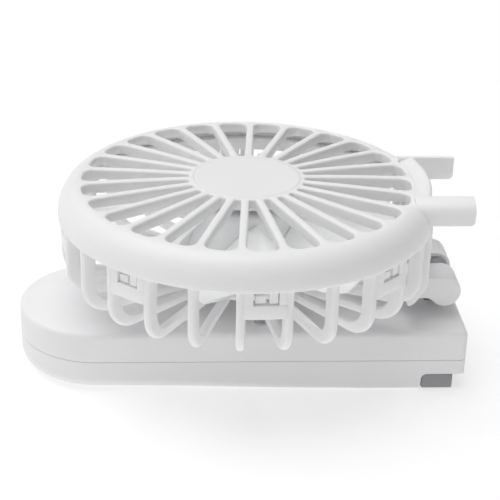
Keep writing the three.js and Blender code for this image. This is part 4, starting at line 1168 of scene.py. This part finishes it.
def make_upper_shell(port):
    low, high = box_mm("shell_screw_1")
    screw_x = (low.x + high.x) / 2
    screw_y = abs(low.y + high.y) / 2
    shell = raw_object("upper_shell", *upper_shell())
    bottom, top = HANDLE_TOP - WALL - 1, HANDLE_TOP + 1
    x0, x1 = HINGE.x - LUG_ROOM_X, HINGE.x + LUG_ROOM_X
    cutters = [port, block(x0, x1, -LUG_ROOM_Y, LUG_ROOM_Y, bottom, top)]
    for side in (-1, 1):
        sink = circle(screw_x, side * screw_y, SCREW_SINK_R, 40)
        cutters.append(prism_z(sink, HANDLE_TOP - 1.5, top))
    carve(shell, *cutters)
    finished("upper_shell", "handle", "shell_plastic", ["handle_upper_shell"])


def make_lower_shell(port):
    shell = raw_object("lower_shell", *lower_shell())
    half = HALF_WIDTH - 0.5
    unite(shell, block(NOTCH_X - WALL, HALF_LENGTH - 0.3, -half, half, 0.5, NOTCH_Z + 1.5))
    button_x = (BUTTON_LOW.x + BUTTON_HIGH.x) / 2
    lamp_x = (LAMP_LOW.x + LAMP_HIGH.x) / 2
    notch = prism_y(notch_outline(), -HALF_WIDTH - 2, HALF_WIDTH + 2)
    cutters = [port, notch, prism_z(circle(button_x, 0, BUTTON_HOLE_R, 64), -1, WALL + 0.6)]
    for i in range(4):
        lamp = circle(lamp_x, (i - 1.5) * LAMP_PITCH, LAMP_HOLE_R, 24)
        cutters.append(prism_z(lamp, -1, WALL + 0.6))
    carve(shell, *cutters)
    finished("lower_shell", "handle", "shell_plastic", ["handle_lower_shell"])


def make_socket():
    """The grey block in the notch, with the two grooves that take the prongs; its dark grey is partly painted
    shade, standing for the shade inside the notch.
    """
    low, high = SOCKET_LOW, SOCKET_HIGH
    body = block(low.x + 0.1, high.x, low.y, high.y, low.z, high.z)
    socket = raw_object("socket_block", *body)
    for side in (-1, 1):
        y0, y1 = sorted((side * (PRONG_IN - 0.4), side * (PRONG_OUT + 0.4)))
        carve(socket, block(low.x + 0.8, high.x + 1, y0, y1, low.z - 1, high.z - 0.8))
    soften(socket, 0.45, 3, 40)
    finished("socket_block", "handle", "grey_plastic", ["prong_socket"])


def make_bracket():
    """The hinge bracket: a screwed base and a lug that stands up through the shell."""
    low, high = BRACKET_LOW, BRACKET_HIGH
    base = raw_object("bracket_lug", *block(low.x, high.x, low.y, high.y, low.z, low.z + 3))
    outline = [(HINGE.x - LUG_R, low.z + 2)]
    outline += rounded_corner(HINGE.x, HINGE.z, LUG_R, 180, 0, 24)
    outline += [(HINGE.x + LUG_R, low.z + 2)]
    unite(base, prism_y(outline, -LUG_HALF, LUG_HALF))
    carve(base, prism_y(circle(HINGE.x, HINGE.z, LUG_BORE, 32), -LUG_HALF - 1.9, LUG_HALF + 1.9))
    soften(base, 0.2, 2, 50)
    finished("bracket_lug", "handle", "grey_plastic", ["hinge_bracket"])


def make_button():
    """The round button, dished in the middle, with its flange and stem inside the shell."""
    x = (BUTTON_LOW.x + BUTTON_HIGH.x) / 2
    low, high = BUTTON_LOW.z, BUTTON_HIGH.z
    profile = [(0, low + 0.25), (1.6, low + 0.2), (3.4, low + 0.05), (4.2, low)]
    profile += rounded_corner(BUTTON_R - 0.5, low + 0.5, 0.5, -90, 0, 4)
    profile += [(BUTTON_R, 1.9), (BUTTON_FLANGE_R, 1.9), (BUTTON_FLANGE_R, 2.7)]
    profile += [(BUTTON_STEM_R, 2.7), (BUTTON_STEM_R, high), (0, high)]
    button = raw_object("press_button", *lathe(profile, 72, (x, 0)))
    groove = [(2.15, low - 1), (2.45, low - 1), (2.45, low + 0.32), (2.15, low + 0.32)]
    carve(button, lathe(groove, 72, (x, 0)))
    finished("press_button", "button", "shell_plastic", ["power_button"])


def make_shell_screws():
    """The two screws under the folded head, with crossed recesses."""
    for index in (1, 2):
        low, high = box_mm(f"shell_screw_{index}")
        x, y = (low.x + high.x) / 2, (low.y + high.y) / 2
        top = high.z
        profile = [(0, top - 0.02), (1.0, top - 0.06)]
        profile += rounded_corner(SCREW_HEAD_R - 0.45, top - 0.55, 0.45, 80, 0, 4)
        profile += [(SCREW_HEAD_R, top - 1.2), (SCREW_SHANK_R, top - 1.2)]
        profile += [(SCREW_SHANK_R, low.z + 0.4), (0.3, low.z), (0, low.z)]
        screw = raw_object(f"cross_screw_{index}", *lathe(profile, 40, (x, y)))
        foot = top - SCREW_CROSS_DEPTH
        for a, b in ((SCREW_CROSS_LONG, SCREW_CROSS_HALF), (SCREW_CROSS_HALF, SCREW_CROSS_LONG)):
            carve(screw, block(x - a, x + a, y - b, y + b, foot, top + 1))
        finished(f"cross_screw_{index}", "handle", "steel", [f"shell_screw_{index}"])


def dress_cad_nodes():
    """Materials for the CAD nodes that stay, most of them inside."""
    slots = {s["node"]: s["material_slot"] for s in frame["record"]["subparts"]}
    for name, obj in frame["nodes"].items():
        obj.data.materials.clear()
        obj.data.materials.append(MATERIALS[slots[name]])


make_front()
make_cap()
make_cage()
make_neck()
make_impeller()
PORT_HOLE = prism_y(port_outline(PORT_GAP), HALF_WIDTH - 3, HALF_WIDTH + 2)
make_upper_shell(PORT_HOLE)
make_lower_shell(PORT_HOLE)
make_socket()
make_bracket()
make_button()
make_shell_screws()
dress_cad_nodes()
